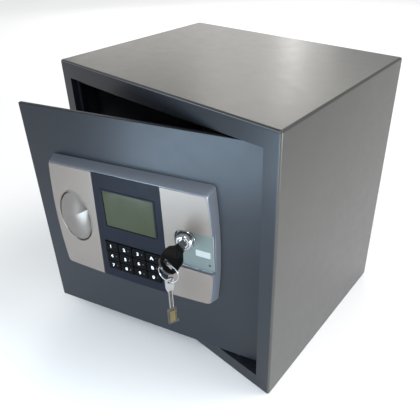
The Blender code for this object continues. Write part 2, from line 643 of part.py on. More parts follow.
def make_keypad(door):
    """Twelve keys over a contact board."""
    depth = 4.8 * MM
    for row, names in enumerate(KEY_NAMES):
        for column, name in enumerate(names):
            spot = Vector(((column - 1.5) * KEY_PITCH.x, 0, (1 - row) * KEY_PITCH.z)) + KEYPAD_CENTRE
            low = spot - KEY_HALF + Vector((0, KEY_TOP, 0))
            high = spot + KEY_HALF + Vector((0, KEY_TOP + depth, 0))
            soften(block(name, low, high, "key_plastic", door), 0.7 * MM, 1)
    board_front = KEY_TOP + depth + 1.6 * MM
    block("keypad_board", KEYPAD_CENTRE - KEYPAD_HALF + Vector((0, board_front, -MM)),
          KEYPAD_CENTRE + KEYPAD_HALF + Vector((0, board_front + 1.6 * MM, MM)), "board", door)


# ---------------------------------------------------------------- emergency lock and keys

def make_lock(door):
    """Recess floor, barrel and nut, which stay still on the door."""
    floor_back = RECESS_FLOOR + 1.8 * MM
    floor = block("lock_recess_floor", (RECESS_LEFT + GAP, RECESS_FLOOR, RECESS_LOW + GAP),
                  (PANEL_RIGHT + 2 * MM, floor_back, RECESS_HIGH - GAP), "recess_plastic", door)
    bore(floor, "barrel_hole", (LOCK_X, RECESS_FLOOR, LOCK_Z), BARREL_BODY_R + GAP, 10 * MM, "out", door)
    bore(floor, "cover_screw_hole", (LOCK_X + 30 * MM, RECESS_FLOOR, RECESS_LOW + 11 * MM), 1.6 * MM,
         10 * MM, "out", door)
    length = LOCK_BACK - BARREL_FRONT
    shoulder = LOCK_BACK - (RECESS_FLOOR - GAP)
    bore_r = PLUG_R + GAP
    rim = shoulder + FLANGE_DEPTH
    profile = [(bore_r, length), (BARREL_R - MM, length), (BARREL_R, length - MM), (BARREL_R, rim),
               (FLANGE_R, rim), (FLANGE_R, shoulder), (BARREL_BODY_R, shoulder), (BARREL_BODY_R, 0), (bore_r, 0)]
    turned("lock_barrel", profile, (LOCK_X, LOCK_BACK, LOCK_Z), "out", "chrome", door, ring=True, steps=40)
    nut_front, nut_depth = PLATE_BACK + GAP, 4 * MM
    nut_centre = (LOCK_X, nut_front + nut_depth / 2, LOCK_Z)
    nut = rod("lock_nut", nut_centre, 14 * MM, nut_depth, "out", "zinc", door, sides=6)
    bore(nut, "nut_bore", nut_centre, BARREL_BODY_R + GAP, 20 * MM, "out", door)


def make_plug(turner):
    """Plug with its keyway, and the cam arm at its rear."""
    length = LOCK_BACK - BARREL_FRONT - 0.3 * MM
    profile = [(0, length), (PLUG_R - 0.5 * MM, length), (PLUG_R, length - 0.5 * MM), (PLUG_R, 0), (0, 0)]
    plug = turned("lock_plug", profile, (LOCK_X, LOCK_BACK, LOCK_Z), "out", "chrome", turner, steps=40)
    keyway = block("keyway", (LOCK_X - 4.6 * MM, BARREL_FRONT - MM, LOCK_Z - 1.3 * MM),
                   (LOCK_X + 4.6 * MM, BARREL_FRONT + 24 * MM, LOCK_Z + 1.3 * MM), "bare_steel", turner)
    keyway.rotation_euler.y = -KEY_TILT
    cut(plug, keyway)
    cam_front, cam_back = LOCK_BACK + GAP, LOCK_BACK + 2.6 * MM
    arm_half = 4.5 * MM
    end = arc((CAM_REACH, arm_half), (CAM_REACH, -arm_half), 0.98 * arm_half, 8)
    outline = [(0, arm_half), *[(point.x, point.y) for point in end], (CAM_REACH, -arm_half), (0, -arm_half)]
    cam = slab("lock_cam", outline, cam_front, cam_back, "zinc", turner, (LOCK_X, 0, LOCK_Z))
    cam.rotation_euler.y = math.radians(45)
    cam_y = (cam_front + cam_back) / 2
    hub = rod("cam_hub", (LOCK_X, cam_y, LOCK_Z), 6.2 * MM, cam_back - cam_front, "out", "zinc", turner)
    cut(cam, hub, "UNION")
    reach = CAM_REACH / math.sqrt(2)
    pin_back = CARRIAGE_Y[1] + 2 * MM
    pin_centre = (LOCK_X + reach, (cam_y + pin_back) / 2, LOCK_Z - reach)
    pin = rod("cam_pin", pin_centre, 2.5 * MM, pin_back - cam_y, "out", "zinc", turner)
    cut(cam, pin, "UNION")


def key_frame():
    """Turns a flat outline in XZ into the key's plane, with local Z pointing out of the door."""
    across = Vector((math.cos(KEY_TILT), 0, math.sin(KEY_TILT)))
    out = Vector((0, -1, 0))
    normal = out.cross(across)
    return Matrix((across, normal, out)).transposed().to_euler()


def make_key(turner):
    """Flat steel blade in the keyway and a plastic bow with a slot for the ring."""
    blade_in = BARREL_FRONT + 23 * MM
    blade_length = blade_in - BOW_START - GAP
    shoulder = blade_in - BARREL_FRONT + 2 * MM
    outline = [(-4.2 * MM, 1.5 * MM), (-2.5 * MM, 0), (1.5 * MM, 0), (4.2 * MM, 2.7 * MM), (4.2 * MM, shoulder),
               (5.5 * MM, shoulder), (5.5 * MM, blade_length), (-5.5 * MM, blade_length), (-5.5 * MM, shoulder),
               (-4.2 * MM, shoulder)]
    blade = slab("key_blade", outline, -MM, MM, "bare_steel", turner, (LOCK_X, blade_in, LOCK_Z))
    blade.rotation_euler = key_frame()
    neck = 7 * MM
    round_end = 0.99 * BOW_HALF_W
    shoulder = BOW_LENGTH - round_end
    top = arc((-BOW_HALF_W, shoulder), (BOW_HALF_W, shoulder), round_end, 16)
    outline = [(-neck, 0), (-BOW_HALF_W, 12 * MM), *[(point.x, point.y) for point in top],
               (BOW_HALF_W, shoulder), (BOW_HALF_W, 12 * MM), (neck, 0)]
    bow = slab("key_bow", outline, -BOW_THICK / 2, BOW_THICK / 2, "black_plastic", turner, (LOCK_X, BOW_START, LOCK_Z))
    bow.rotation_euler = key_frame()
    eye = block("bow_slot", (LOCK_X - 6.5 * MM, EYE_Y - 2.4 * MM, LOCK_Z - 5 * MM),
                (LOCK_X + 6.5 * MM, EYE_Y + 2.4 * MM, LOCK_Z + 5 * MM), "bare_steel", turner)
    eye.rotation_euler.y = -KEY_TILT
    cut(bow, eye)


def make_ring(turner):
    """Wire ring through the bow's slot, hanging straight down."""
    top = Vector((LOCK_X, EYE_Y, LOCK_Z))
    swing = axis_empty("ring_axis", top, turner)
    centre = top - Vector((0, 0, RING_R))
    count = 8
    turns = [math.pi / 2 - 2 * math.pi * step / count for step in range(count)]
    section = [(RING_R + RING_WIRE * math.cos(turn), RING_WIRE * math.sin(turn)) for turn in turns]
    turned("key_ring", section, centre, "out", "chrome", swing, ring=True, steps=36)
    return swing


def make_spare_key(swing):
    """Second key, hanging on the ring and turned to lie at 45 degrees to the door."""
    eye = Vector((LOCK_X, EYE_Y, LOCK_Z - 2 * RING_R))
    hang = axis_empty("spare_axis", eye, swing)
    outline = [(-6 * MM, 5 * MM), (6 * MM, 5 * MM), (8 * MM, -4 * MM), (4 * MM, -15 * MM), (2.4 * MM, -16 * MM),
               (2.4 * MM, -42 * MM), (5.5 * MM, -42 * MM), (5.5 * MM, -62 * MM), (7.5 * MM, -62 * MM),
               (7.5 * MM, -67 * MM), (-5.5 * MM, -67 * MM), (-5.5 * MM, -42 * MM), (-2.4 * MM, -42 * MM),
               (-2.4 * MM, -16 * MM), (-4 * MM, -15 * MM), (-8 * MM, -4 * MM)]
    spare = slab("spare_key", outline, -1.1 * MM, 1.1 * MM, "bare_steel", hang, eye)
    spare.rotation_euler.z = math.radians(45)
    cut(spare, rod("spare_eye", eye, 3.1 * MM, 30 * MM, "out", "bare_steel", hang))
    bpy.data.objects["spare_eye"].rotation_euler = (math.pi / 2, 0, math.radians(45))


make_carcase()
door_pivot = axis_empty("door_pivot", PIVOT, turn=DOOR_AJAR)
make_hinge(door_pivot)
inner_cover = make_door_shell(door_pivot)
make_bolt_work(door_pivot)
make_drive(door_pivot)
make_battery_box(door_pivot, inner_cover)
make_reset(door_pivot, inner_cover)
make_panel(door_pivot)
make_pull(door_pivot)
make_display(door_pivot)
make_keypad(door_pivot)
make_lock(door_pivot)
plug_axis = axis_empty("plug_axis", (LOCK_X, BARREL_FRONT, LOCK_Z), door_pivot)
make_plug(plug_axis)
make_key(plug_axis)
ring_axis = make_ring(plug_axis)
make_spare_key(ring_axis)
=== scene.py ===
"""In-room safe: detailed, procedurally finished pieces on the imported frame.

Door pieces are made square to the closed door and then turned with DOOR to where the door rests, ajar.
"""
import json
import math

import bmesh
import bpy
from mathutils import Matrix, Vector

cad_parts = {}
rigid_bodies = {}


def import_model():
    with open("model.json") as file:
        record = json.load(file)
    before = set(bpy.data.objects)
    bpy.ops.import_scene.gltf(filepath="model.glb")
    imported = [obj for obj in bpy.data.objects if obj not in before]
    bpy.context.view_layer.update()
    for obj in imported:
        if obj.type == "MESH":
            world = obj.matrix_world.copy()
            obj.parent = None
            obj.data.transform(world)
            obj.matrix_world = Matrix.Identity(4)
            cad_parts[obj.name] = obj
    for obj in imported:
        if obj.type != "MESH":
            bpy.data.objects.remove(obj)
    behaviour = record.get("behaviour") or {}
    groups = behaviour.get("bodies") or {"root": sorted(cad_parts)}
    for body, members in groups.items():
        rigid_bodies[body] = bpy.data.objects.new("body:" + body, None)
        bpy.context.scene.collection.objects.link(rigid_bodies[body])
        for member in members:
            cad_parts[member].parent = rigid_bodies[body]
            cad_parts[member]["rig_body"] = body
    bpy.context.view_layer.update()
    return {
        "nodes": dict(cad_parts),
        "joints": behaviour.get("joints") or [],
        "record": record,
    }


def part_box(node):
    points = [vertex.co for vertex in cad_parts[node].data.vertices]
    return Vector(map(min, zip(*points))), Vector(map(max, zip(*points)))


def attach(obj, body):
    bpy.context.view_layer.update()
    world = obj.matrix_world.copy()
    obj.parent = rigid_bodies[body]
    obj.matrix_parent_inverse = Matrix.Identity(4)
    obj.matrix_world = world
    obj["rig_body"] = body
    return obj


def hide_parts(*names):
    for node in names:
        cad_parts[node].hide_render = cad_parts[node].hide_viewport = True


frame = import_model()

MM = 0.001
NODES = frame["nodes"]
JOINTS = {joint["name"]: joint for joint in frame["joints"]}
SLOTS = {part["node"]: part["material_slot"] for part in frame["record"]["subparts"]}
SCENE = bpy.context.scene

PIVOT = Vector((*JOINTS["door_hinge"]["pos_m"][:2], 0))
AJAR = math.radians(-JOINTS["door_hinge"]["range_deg"][0])
DOOR = Matrix.Translation(PIVOT) @ Matrix.Rotation(AJAR, 4, "Z") @ Matrix.Translation(-PIVOT)
STILL = Matrix.Identity(4)

# Carcase
SHEET = 3 * MM
OPEN_HALF_W = 169.5 * MM
OPEN_LOW = 23 * MM
OPEN_HIGH = 368 * MM
FRONT_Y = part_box("carcase_wrap")[0].y
JAMB_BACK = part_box("front_frame")[1].y
ANCHOR_X = 100 * MM
ANCHOR_Y = 20 * MM
ANCHOR_R = 6 * MM

# Panel
DOOR_FACE = FRONT_Y + 3 * MM
PANEL_FACE = DOOR_FACE - 16.3 * MM
PANEL_BACK = DOOR_FACE - 0.3 * MM
PANEL_LEFT = -121.5 * MM
PANEL_RIGHT = 101.5 * MM
PANEL_LOW = 130 * MM
PANEL_HIGH = 295.5 * MM
SIDE_BULGE = 5 * MM
FOOT_BULGE = 4.5 * MM
PANEL_RADII = (2.2 * MM, 3.0 * MM, 6.0 * MM, 4.5 * MM)
PANEL_FLARE = (3.8 * MM, 3.8 * MM, 5.5 * MM, 4.0 * MM, 7.0 * MM)
SEAM_LEFT = (-55.3 * MM, -60.3 * MM)
SEAM_RIGHT = (40.9 * MM, 42.5 * MM)
PLATE_RISE = 0.9 * MM
PULL_CENTRE = Vector((-92.5 * MM, PANEL_FACE, 216.5 * MM))
PULL_HALF = (24.8 * MM, 39.5 * MM)
PULL_DEPTH = 7.5 * MM
CREASE_SLOPE, CREASE_RISE = 0.335, 0.067
RECESS = (56.5 * MM, 181 * MM, 240 * MM)
RECESS_FLOOR = PANEL_FACE + 4.4 * MM
RECESS_REACH = 4.6 * MM
LOCK = Vector((70.5 * MM, 0, 225 * MM))
BARREL_FRONT = PANEL_FACE - 6 * MM
KEY_TILT = math.radians(-45)


# ---------------------------------------------------------------- finishes

SPECKLE_SCALE = 2600
GLOSS_SCALE = 60


def finish(name, base, roughness, metallic=0.0, mottle=(30, 0.1), grain=(900, 0.03),
           gloss_spread=0.06, speckle=0.0, stretch=(1, 1, 1), specular=0.5, sheen=0.0):
    """Procedural finish: mottled colour, uneven gloss and a fine surface grain.

    mottle is (noise scale, share of the colour) and grain is (noise scale, height in millimetres).
    """
    made = bpy.data.materials.new(name)
    made.use_nodes = True
    tree = made.node_tree
    shader = tree.nodes["Principled BSDF"]
    shader.inputs["Metallic"].default_value = metallic
    shader.inputs["Specular IOR Level"].default_value = specular
    shader.inputs["Sheen Weight"].default_value = sheen
    place = tree.nodes.new("ShaderNodeTexCoord")
    scaled = tree.nodes.new("ShaderNodeMapping")
    scaled.inputs["Scale"].default_value = stretch
    tree.links.new(place.outputs["Object"], scaled.inputs["Vector"])

    def noise(scale, detail=3.0):
        node = tree.nodes.new("ShaderNodeTexNoise")
        node.inputs["Scale"].default_value = scale
        node.inputs["Detail"].default_value = detail
        tree.links.new(scaled.outputs["Vector"], node.inputs["Vector"])
        return node.outputs["Fac"]

    def spread(source, low, high):
        node = tree.nodes.new("ShaderNodeMapRange")
        node.inputs["From Min"].default_value = 0.3
        node.inputs["From Max"].default_value = 0.7
        node.inputs["To Min"].default_value = low
        node.inputs["To Max"].default_value = high
        tree.links.new(source, node.inputs["Value"])
        return node.outputs["Result"]

    def blend(factor, dark, light):
        node = tree.nodes.new("ShaderNodeMix")
        node.data_type = "RGBA"
        node.inputs["A"].default_value = (*dark, 1)
        node.inputs["B"].default_value = (*light, 1)
        tree.links.new(factor, node.inputs["Factor"])
        return node.outputs["Result"]

    amount = mottle[1]
    factor = noise(mottle[0])
    if speckle:
        fine = noise(SPECKLE_SCALE, 1.0)
        join = tree.nodes.new("ShaderNodeMix")
        join.data_type = "FLOAT"
        join.inputs["Factor"].default_value = speckle
        tree.links.new(factor, join.inputs["A"])
        tree.links.new(fine, join.inputs["B"])
        factor = join.outputs["Result"]
    dark = [channel * (1 - amount) for channel in base]
    light = [channel * (1 + amount) for channel in base]
    tree.links.new(blend(spread(factor, 0, 1), dark, light), shader.inputs["Base Color"])
    rough = spread(noise(GLOSS_SCALE), roughness - gloss_spread, roughness + gloss_spread)
    tree.links.new(rough, shader.inputs["Roughness"])
    bump = tree.nodes.new("ShaderNodeBump")
    bump.inputs["Distance"].default_value = grain[1] * MM
    tree.links.new(noise(grain[0], 2.0), bump.inputs["Height"])
    tree.links.new(bump.outputs["Normal"], shader.inputs["Normal"])
    return made


LOOKS = {
    "grey_paint": finish("grey_paint", (0.053, 0.052, 0.049), 0.3, 0.3, (18, 0.05), (700, 0.03), 0.02,
                         speckle=0.5),
    # The door's own blue; on the body's front plate and jambs the same paint is painted shade.
    "door_paint": finish("door_paint", (0.019, 0.022, 0.028), 0.3, 0.3, (14, 0.05), (700, 0.03), 0.02,
                         speckle=0.5, specular=0.3),
    # On the inside of the body's walls this lighter paint is painted light that brightens the unlit inside.
    "inner_paint": finish("inner_paint", (0.13, 0.14, 0.16), 0.4, 0.1, (18, 0.05), (700, 0.03), 0.02,
                          speckle=0.5),
    # Blue-grey metallic paint of the panel housing, made much lighter than the door's: painted light for
    # the light its slopes catch and reflect.
    "housing_paint": finish("housing_paint", (0.22, 0.25, 0.3), 0.3, 0.5, (14, 0.05), (700, 0.02), 0.02,
                            speckle=0.5),
    "bare_steel": finish("bare_steel", (0.37, 0.37, 0.375), 0.21, 1.0, (200, 0.08), (1500, 0.012), 0.04,
                         stretch=(0.25, 1, 1)),
    "worn_steel": finish("worn_steel", (0.1, 0.098, 0.09), 0.35, 1.0, (250, 0.3), (1200, 0.015)),
    "zinc": finish("zinc", (0.56, 0.57, 0.55), 0.36, 1.0, (90, 0.12), (900, 0.015)),
    "silver_plastic": finish("silver_plastic", (0.176, 0.148, 0.129), 0.31, 0.3, (40, 0.03), (2200, 0.006),
                             0.03, speckle=0.6),
    "pull_silver": finish("pull_silver", (0.163, 0.144, 0.131), 0.34, 0.9, (40, 0.03), (2200, 0.004), 0.02),
    "navy_plastic": finish("navy_plastic", (0.0055, 0.0075, 0.014), 0.36, 0.0, (30, 0.06), (1600, 0.010),
                           speckle=0.4, specular=0.08),
    "key_plastic": finish("key_plastic", (0.0015, 0.0015, 0.002), 0.2, 0.0, (60, 0.1), (1500, 0.012),
                          specular=0.04),
    "gloss_black": finish("gloss_black", (0.004, 0.004, 0.004), 0.14, 0.0, (60, 0.1), (1200, 0.01)),
    "black_plastic": finish("black_plastic", (0.014, 0.014, 0.014), 0.42, 0.0, (60, 0.1), (1100, 0.03)),
    "recess_plastic": finish("recess_plastic", (0.105, 0.135, 0.13), 0.36, 0.1, (40, 0.05), (1500, 0.012)),
    "lcd_glass": finish("lcd_glass", (0.021, 0.028, 0.0085), 0.16, 0.0, (45, 0.05), (400, 0.002),
                        specular=0.3),
    "lcd_panel": finish("lcd_panel", (0.16, 0.21, 0.10), 0.4),
    "board": finish("board", (0.02, 0.13, 0.06), 0.4, 0.0, (150, 0.15), (800, 0.02)),
    "chrome": finish("chrome", (0.46, 0.47, 0.49), 0.08, 1.0, (80, 0.03), (500, 0.002), gloss_spread=0.03),
    "brass": finish("brass", (0.2, 0.165, 0.08), 0.19, 1.0, (120, 0.1), (900, 0.01)),
    "felt": finish("felt", (0.035, 0.036, 0.04), 0.92, 0.0, (300, 0.3), (1300, 0.35), sheen=0.3),
    "cell": finish("cell", (0.05, 0.055, 0.07), 0.35, 0.0, (60, 0.1), (600, 0.005)),
    "red_plastic": finish("red_plastic", (0.42, 0.02, 0.015), 0.35, 0.0, (60, 0.06), (900, 0.01)),
}
PRINT = finish("white_print", (0.74, 0.76, 0.78), 0.45, 0.0, (300, 0.04), (900, 0.004))
FAINT_PRINT = finish("grey_print", (0.13, 0.135, 0.15), 0.45, 0.0, (300, 0.04), (900, 0.004))
PAPER = finish("blank_label", (0.33, 0.36, 0.345), 0.5, 0.0, (200, 0.04), (1200, 0.01))
FLOOR = finish("pale_floor", (0.93, 0.93, 0.93), 0.8, 0.0, (3, 0.01), (80, 0.05))


# ---------------------------------------------------------------- helpers

def shown(name, mesh, look):
    """Object for a mesh, in the scene and with one finish."""
    obj = bpy.data.objects.new(name, mesh)
    SCENE.collection.objects.link(obj)
    mesh.materials.clear()
    mesh.materials.append(look)
    return obj


def from_bm(name, bm, look):
    """Object for an edit mesh, with its faces turned outward."""
    bmesh.ops.recalc_face_normals(bm, faces=bm.faces)
    mesh = bpy.data.meshes.new(name)
    bm.to_mesh(mesh)
    bm.free()
    return shown(name, mesh, look)


def settle(obj):
    """Make the modifiers' result the object's own mesh."""
    bpy.context.view_layer.update()
    mesh = bpy.data.meshes.new_from_object(obj.evaluated_get(bpy.context.evaluated_depsgraph_get()))
    obj.modifiers.clear()
    spent = obj.data
    obj.data = mesh
    bpy.data.meshes.remove(spent)
    return obj


def combine(obj, *tools, operation="DIFFERENCE"):
    """Cut an object with tools, or join or intersect it with them; the tools are used up."""
    for tool in tools:
        step = obj.modifiers.new("step", "BOOLEAN")
        step.operation = operation
        step.solver = "EXACT"
        step.object = tool
    settle(obj)
    for tool in tools:
        bpy.data.objects.remove(tool)
    return obj


def polish(obj, width, segments=2, angle=38):
    """Rounded edges and smooth shading, kept in the mesh."""
    bevel = obj.modifiers.new("edges", "BEVEL")
    bevel.width = width
    bevel.segments = segments
    bevel.limit_method = "ANGLE"
    bevel.angle_limit = math.radians(angle)
    bevel.harden_normals = False
    obj.data.shade_smooth()
    obj.modifiers.new("normals", "WEIGHTED_NORMAL").keep_sharp = False
    return settle(obj)


def shade(obj, angle=35):
    """Smooth shading that keeps edges sharp above an angle."""
    obj.data.shade_smooth()
    obj.data.set_sharp_from_angle(angle=math.radians(angle))
    return obj


def hang(obj, body="door", nodes=(), where=DOOR):
    """Turn a finished piece to its resting place and hand it to its body."""
    obj.data.transform(where)
    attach(obj, body)
    if nodes:
        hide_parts(*nodes)
    return obj


def closed_box(node):
    """Lowest and highest corner of a door node, square to the closed door."""
    back = DOOR.inverted()
    points = [back @ vertex.co for vertex in NODES[node].data.vertices]
    return (Vector([min(point[axis] for point in points) for axis in range(3)]),
            Vector([max(point[axis] for point in points) for axis in range(3)]))


def box(name, low, high, look, radius=0.0, segments=4):
    """Box between two corners, with rounded edges where a radius is given."""
    low, high = Vector(low), Vector(high)
    bm = bmesh.new()
    bmesh.ops.create_cube(bm, size=1.0)
    bmesh.ops.transform(bm, verts=bm.verts, matrix=Matrix.Translation((low + high) / 2)
                        @ Matrix.Diagonal((*(high - low), 1)))
    if radius:
        bmesh.ops.bevel(bm, geom=bm.edges[:] + bm.verts[:], offset=radius, segments=segments, profile=0.5,
                        affect="EDGES")
    return from_bm(name, bm, look)


def prism(name, outline, front, back, look):
    """Outline of (x, z) points, extruded along Y."""
    bm = bmesh.new()
    face = bm.faces.new([bm.verts.new((x, front, z)) for x, z in outline])
    grown = bmesh.ops.extrude_face_region(bm, geom=[face])["geom"]
    moved = [item for item in grown if isinstance(item, bmesh.types.BMVert)]
    bmesh.ops.translate(bm, vec=(0, back - front, 0), verts=moved)
    return from_bm(name, bm, look)


def loft(name, rings, look, caps=(True, True)):
    """Skin over rings of equally many points."""
    bm = bmesh.new()
    loops = [[bm.verts.new(point) for point in ring] for ring in rings]
    count = len(loops[0])
    for near, far in zip(loops, loops[1:]):
        for index in range(count):
            after = (index + 1) % count
            bm.faces.new((near[index], near[after], far[after], far[index]))
    if caps[0]:
        bm.faces.new(loops[0])
    if caps[1]:
        bm.faces.new(loops[-1])
    return from_bm(name, bm, look)


def lathe(name, profile, centre, direction, look, steps=72):
    """Closed profile of (radius, height) points turned about a line through centre."""
    axis = Vector(direction).normalized()
    frame_of = axis.to_track_quat("Z", "Y").to_matrix().to_4x4()
    bm = bmesh.new()
    rings = []
    for radius, height in profile:
        if radius == 0:
            rings.append([bm.verts.new((0, 0, height))] * steps)
            continue
        rings.append([bm.verts.new((radius * math.cos(2 * math.pi * step / steps),
                                    radius * math.sin(2 * math.pi * step / steps), height))
                      for step in range(steps)])
    pairs = list(zip(rings, rings[1:]))
    if profile[0][0] and profile[-1][0]:
        pairs.append((rings[-1], rings[0]))
    for near, far in pairs:
        for step in range(steps):
            after = (step + 1) % steps
            corners = [near[step], near[after], far[after], far[step]]
            unique = list(dict.fromkeys(corners))
            if len(unique) > 2:
                bm.faces.new(unique)
    bmesh.ops.transform(bm, verts=bm.verts, matrix=Matrix.Translation(centre) @ frame_of)
    return shade(from_bm(name, bm, look), 30)


def rod(name, radius, reach, centre, direction, look, steps=48):
    """Solid rod that reaches the same way up and down from its centre."""
    profile = [(0, reach), (radius, reach), (radius, -reach), (0, -reach)]
    return lathe(name, profile, centre, direction, look, steps)


def meshed(name, curve):
    """Mesh of a curve; the curve's own object doesn't stay in the scene."""
    source = bpy.data.objects.new(name, curve)
    SCENE.collection.objects.link(source)
    bpy.context.view_layer.update()
    mesh = bpy.data.meshes.new_from_object(source.evaluated_get(bpy.context.evaluated_depsgraph_get()))
    bpy.data.objects.remove(source)
    return mesh


def tube(name, points, radius, look):
    """Round wire along points."""
    curve = bpy.data.curves.new(name, "CURVE")
    curve.dimensions = "3D"
    curve.bevel_depth = radius
    curve.bevel_resolution = 3
    curve.use_fill_caps = True
    line = curve.splines.new("POLY")
    line.points.add(len(points) - 1)
    for slot, point in zip(line.points, points):
        slot.co = (*point, 1)
    return shade(shown(name, meshed(name, curve), look), 50)


def refined(node, width, segments=2):
    """Copy of a CAD node with whole faces, rounded edges and smooth shading, which stands for it."""
    source = NODES[node]
    bm = bmesh.new()
    bm.from_mesh(source.data)
    bmesh.ops.remove_doubles(bm, verts=bm.verts, dist=0.002 * MM)
    bmesh.ops.dissolve_limit(bm, angle_limit=math.radians(1), verts=bm.verts, edges=bm.edges)
    obj = from_bm(node + "_detail", bm, LOOKS[SLOTS[node]])
    polish(obj, width, segments)
    return hang(obj, source["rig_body"], [node], STILL)


def words(name, text, size, where, look, body, weight=0.0):
    """Raised print that faces out of the door."""
    curve = bpy.data.curves.new(name, "FONT")
    curve.body = text
    curve.size = size
    curve.extrude = 0.04 * MM
    curve.offset = weight
    curve.align_x = "CENTER"
    curve.align_y = "CENTER"
    curve.resolution_u = 3
    mesh = meshed(name, curve)
    mesh.transform(Matrix.Translation(where) @ Matrix.Rotation(math.pi / 2, 4, "X"))
    return hang(shown(name, mesh, look), body)


# ---------------------------------------------------------------- outlines

def nearest(points, corner):
    """Number of the point that lies nearest a corner."""
    return min(range(len(points)), key=lambda spot: (points[spot] - corner).length)


def bowed(start, end, bulge, count=40):
    """Points from start up to end on an arc that bulges to the left of the chord."""
    start, end = Vector(start), Vector(end)
    side = Vector((-(end - start).y, (end - start).x)).normalized()
    points = []
    for step in range(count):
        share = step / count
        points.append(start.lerp(end, share) + side * bulge * 4 * share * (1 - share))
    return points


def round_corner(points, corner, radius, steps=8):
    """Replace a corner of a closed line by a curve that starts radius before it and ends radius after."""
    count = len(points)
    here = points[corner]

    def walk(direction):
        index, left = corner, radius
        while True:
            after = (index + direction) % count
            length = (points[after] - points[index]).length
            if length >= left:
                return after, points[index].lerp(points[after], left / length)
            left -= length
            index = after

    before_index, before = walk(-1)
    after_index, after = walk(1)
    curve = [before.lerp(here, share).lerp(here.lerp(after, share), share)
             for share in (step / steps for step in range(steps + 1))]
    kept = []
    index = after_index
    while index != before_index:
        kept.append(points[index])
        index = (index + 1) % count
    kept.append(points[before_index])
    return curve + kept


def evenly(points, count):
    """Closed line resampled to equally spaced points."""
    lengths = [(after - here).length for here, after in zip(points, points[1:] + points[:1])]
    step = sum(lengths) / count
    made, index, along = [], 0, 0.0
    for number in range(count):
        target = number * step
        while along + lengths[index] < target:
            along += lengths[index]
            index += 1
        share = (target - along) / lengths[index]
        made.append(points[index].lerp(points[(index + 1) % len(points)], share))
    return made


def panel_outline(grow, count=0):
    """Panel outline, grown by (left, right, low, high at the left, high at the right)."""
    left, right, low, high_left, high_right = grow
    corners = [Vector((PANEL_LEFT - left, PANEL_HIGH + high_left)),
               Vector((PANEL_RIGHT + right, PANEL_HIGH + high_right)),
               Vector((PANEL_RIGHT + right, PANEL_LOW - low)),
               Vector((PANEL_LEFT - left, PANEL_LOW - low))]
    bulges = (0, SIDE_BULGE, FOOT_BULGE, SIDE_BULGE)
    sides = [bowed(corners[side], corners[(side + 1) % 4], bulges[side]) for side in range(4)]
    points = [point for side in sides for point in side]
    for corner, radius in zip(corners, PANEL_RADII):
        points = round_corner(points, nearest(points, corner), radius)
    start = nearest(points, (corners[0] + corners[1]) / 2)
    points = points[start:] + points[:start]
    return evenly(points, count) if count else points


def pull_mouth(grow, count=96):
    """Outline of the finger pull, grown all round."""
    turns = [2 * math.pi * step / count for step in range(count)]
    return [(PULL_CENTRE.x + (PULL_HALF[0] + grow) * math.cos(turn),
             PULL_CENTRE.z + (PULL_HALF[1] + grow) * math.sin(turn)) for turn in turns]


def wedge(left, right):
    """Outline of the strip between two leaning seams, each given as (x at the top, x at the foot)."""
    tall = PANEL_HIGH - PANEL_LOW
    reach = 30 * MM
    above, below = PANEL_HIGH + reach, PANEL_LOW - reach

    def at(seam, height):
        return seam[0] + (seam[1] - seam[0]) * (PANEL_HIGH - height) / tall

    return [(at(left, above), above), (at(right, above), above),
            (at(right, below), below), (at(left, below), below)]


# ---------------------------------------------------------------- carcase

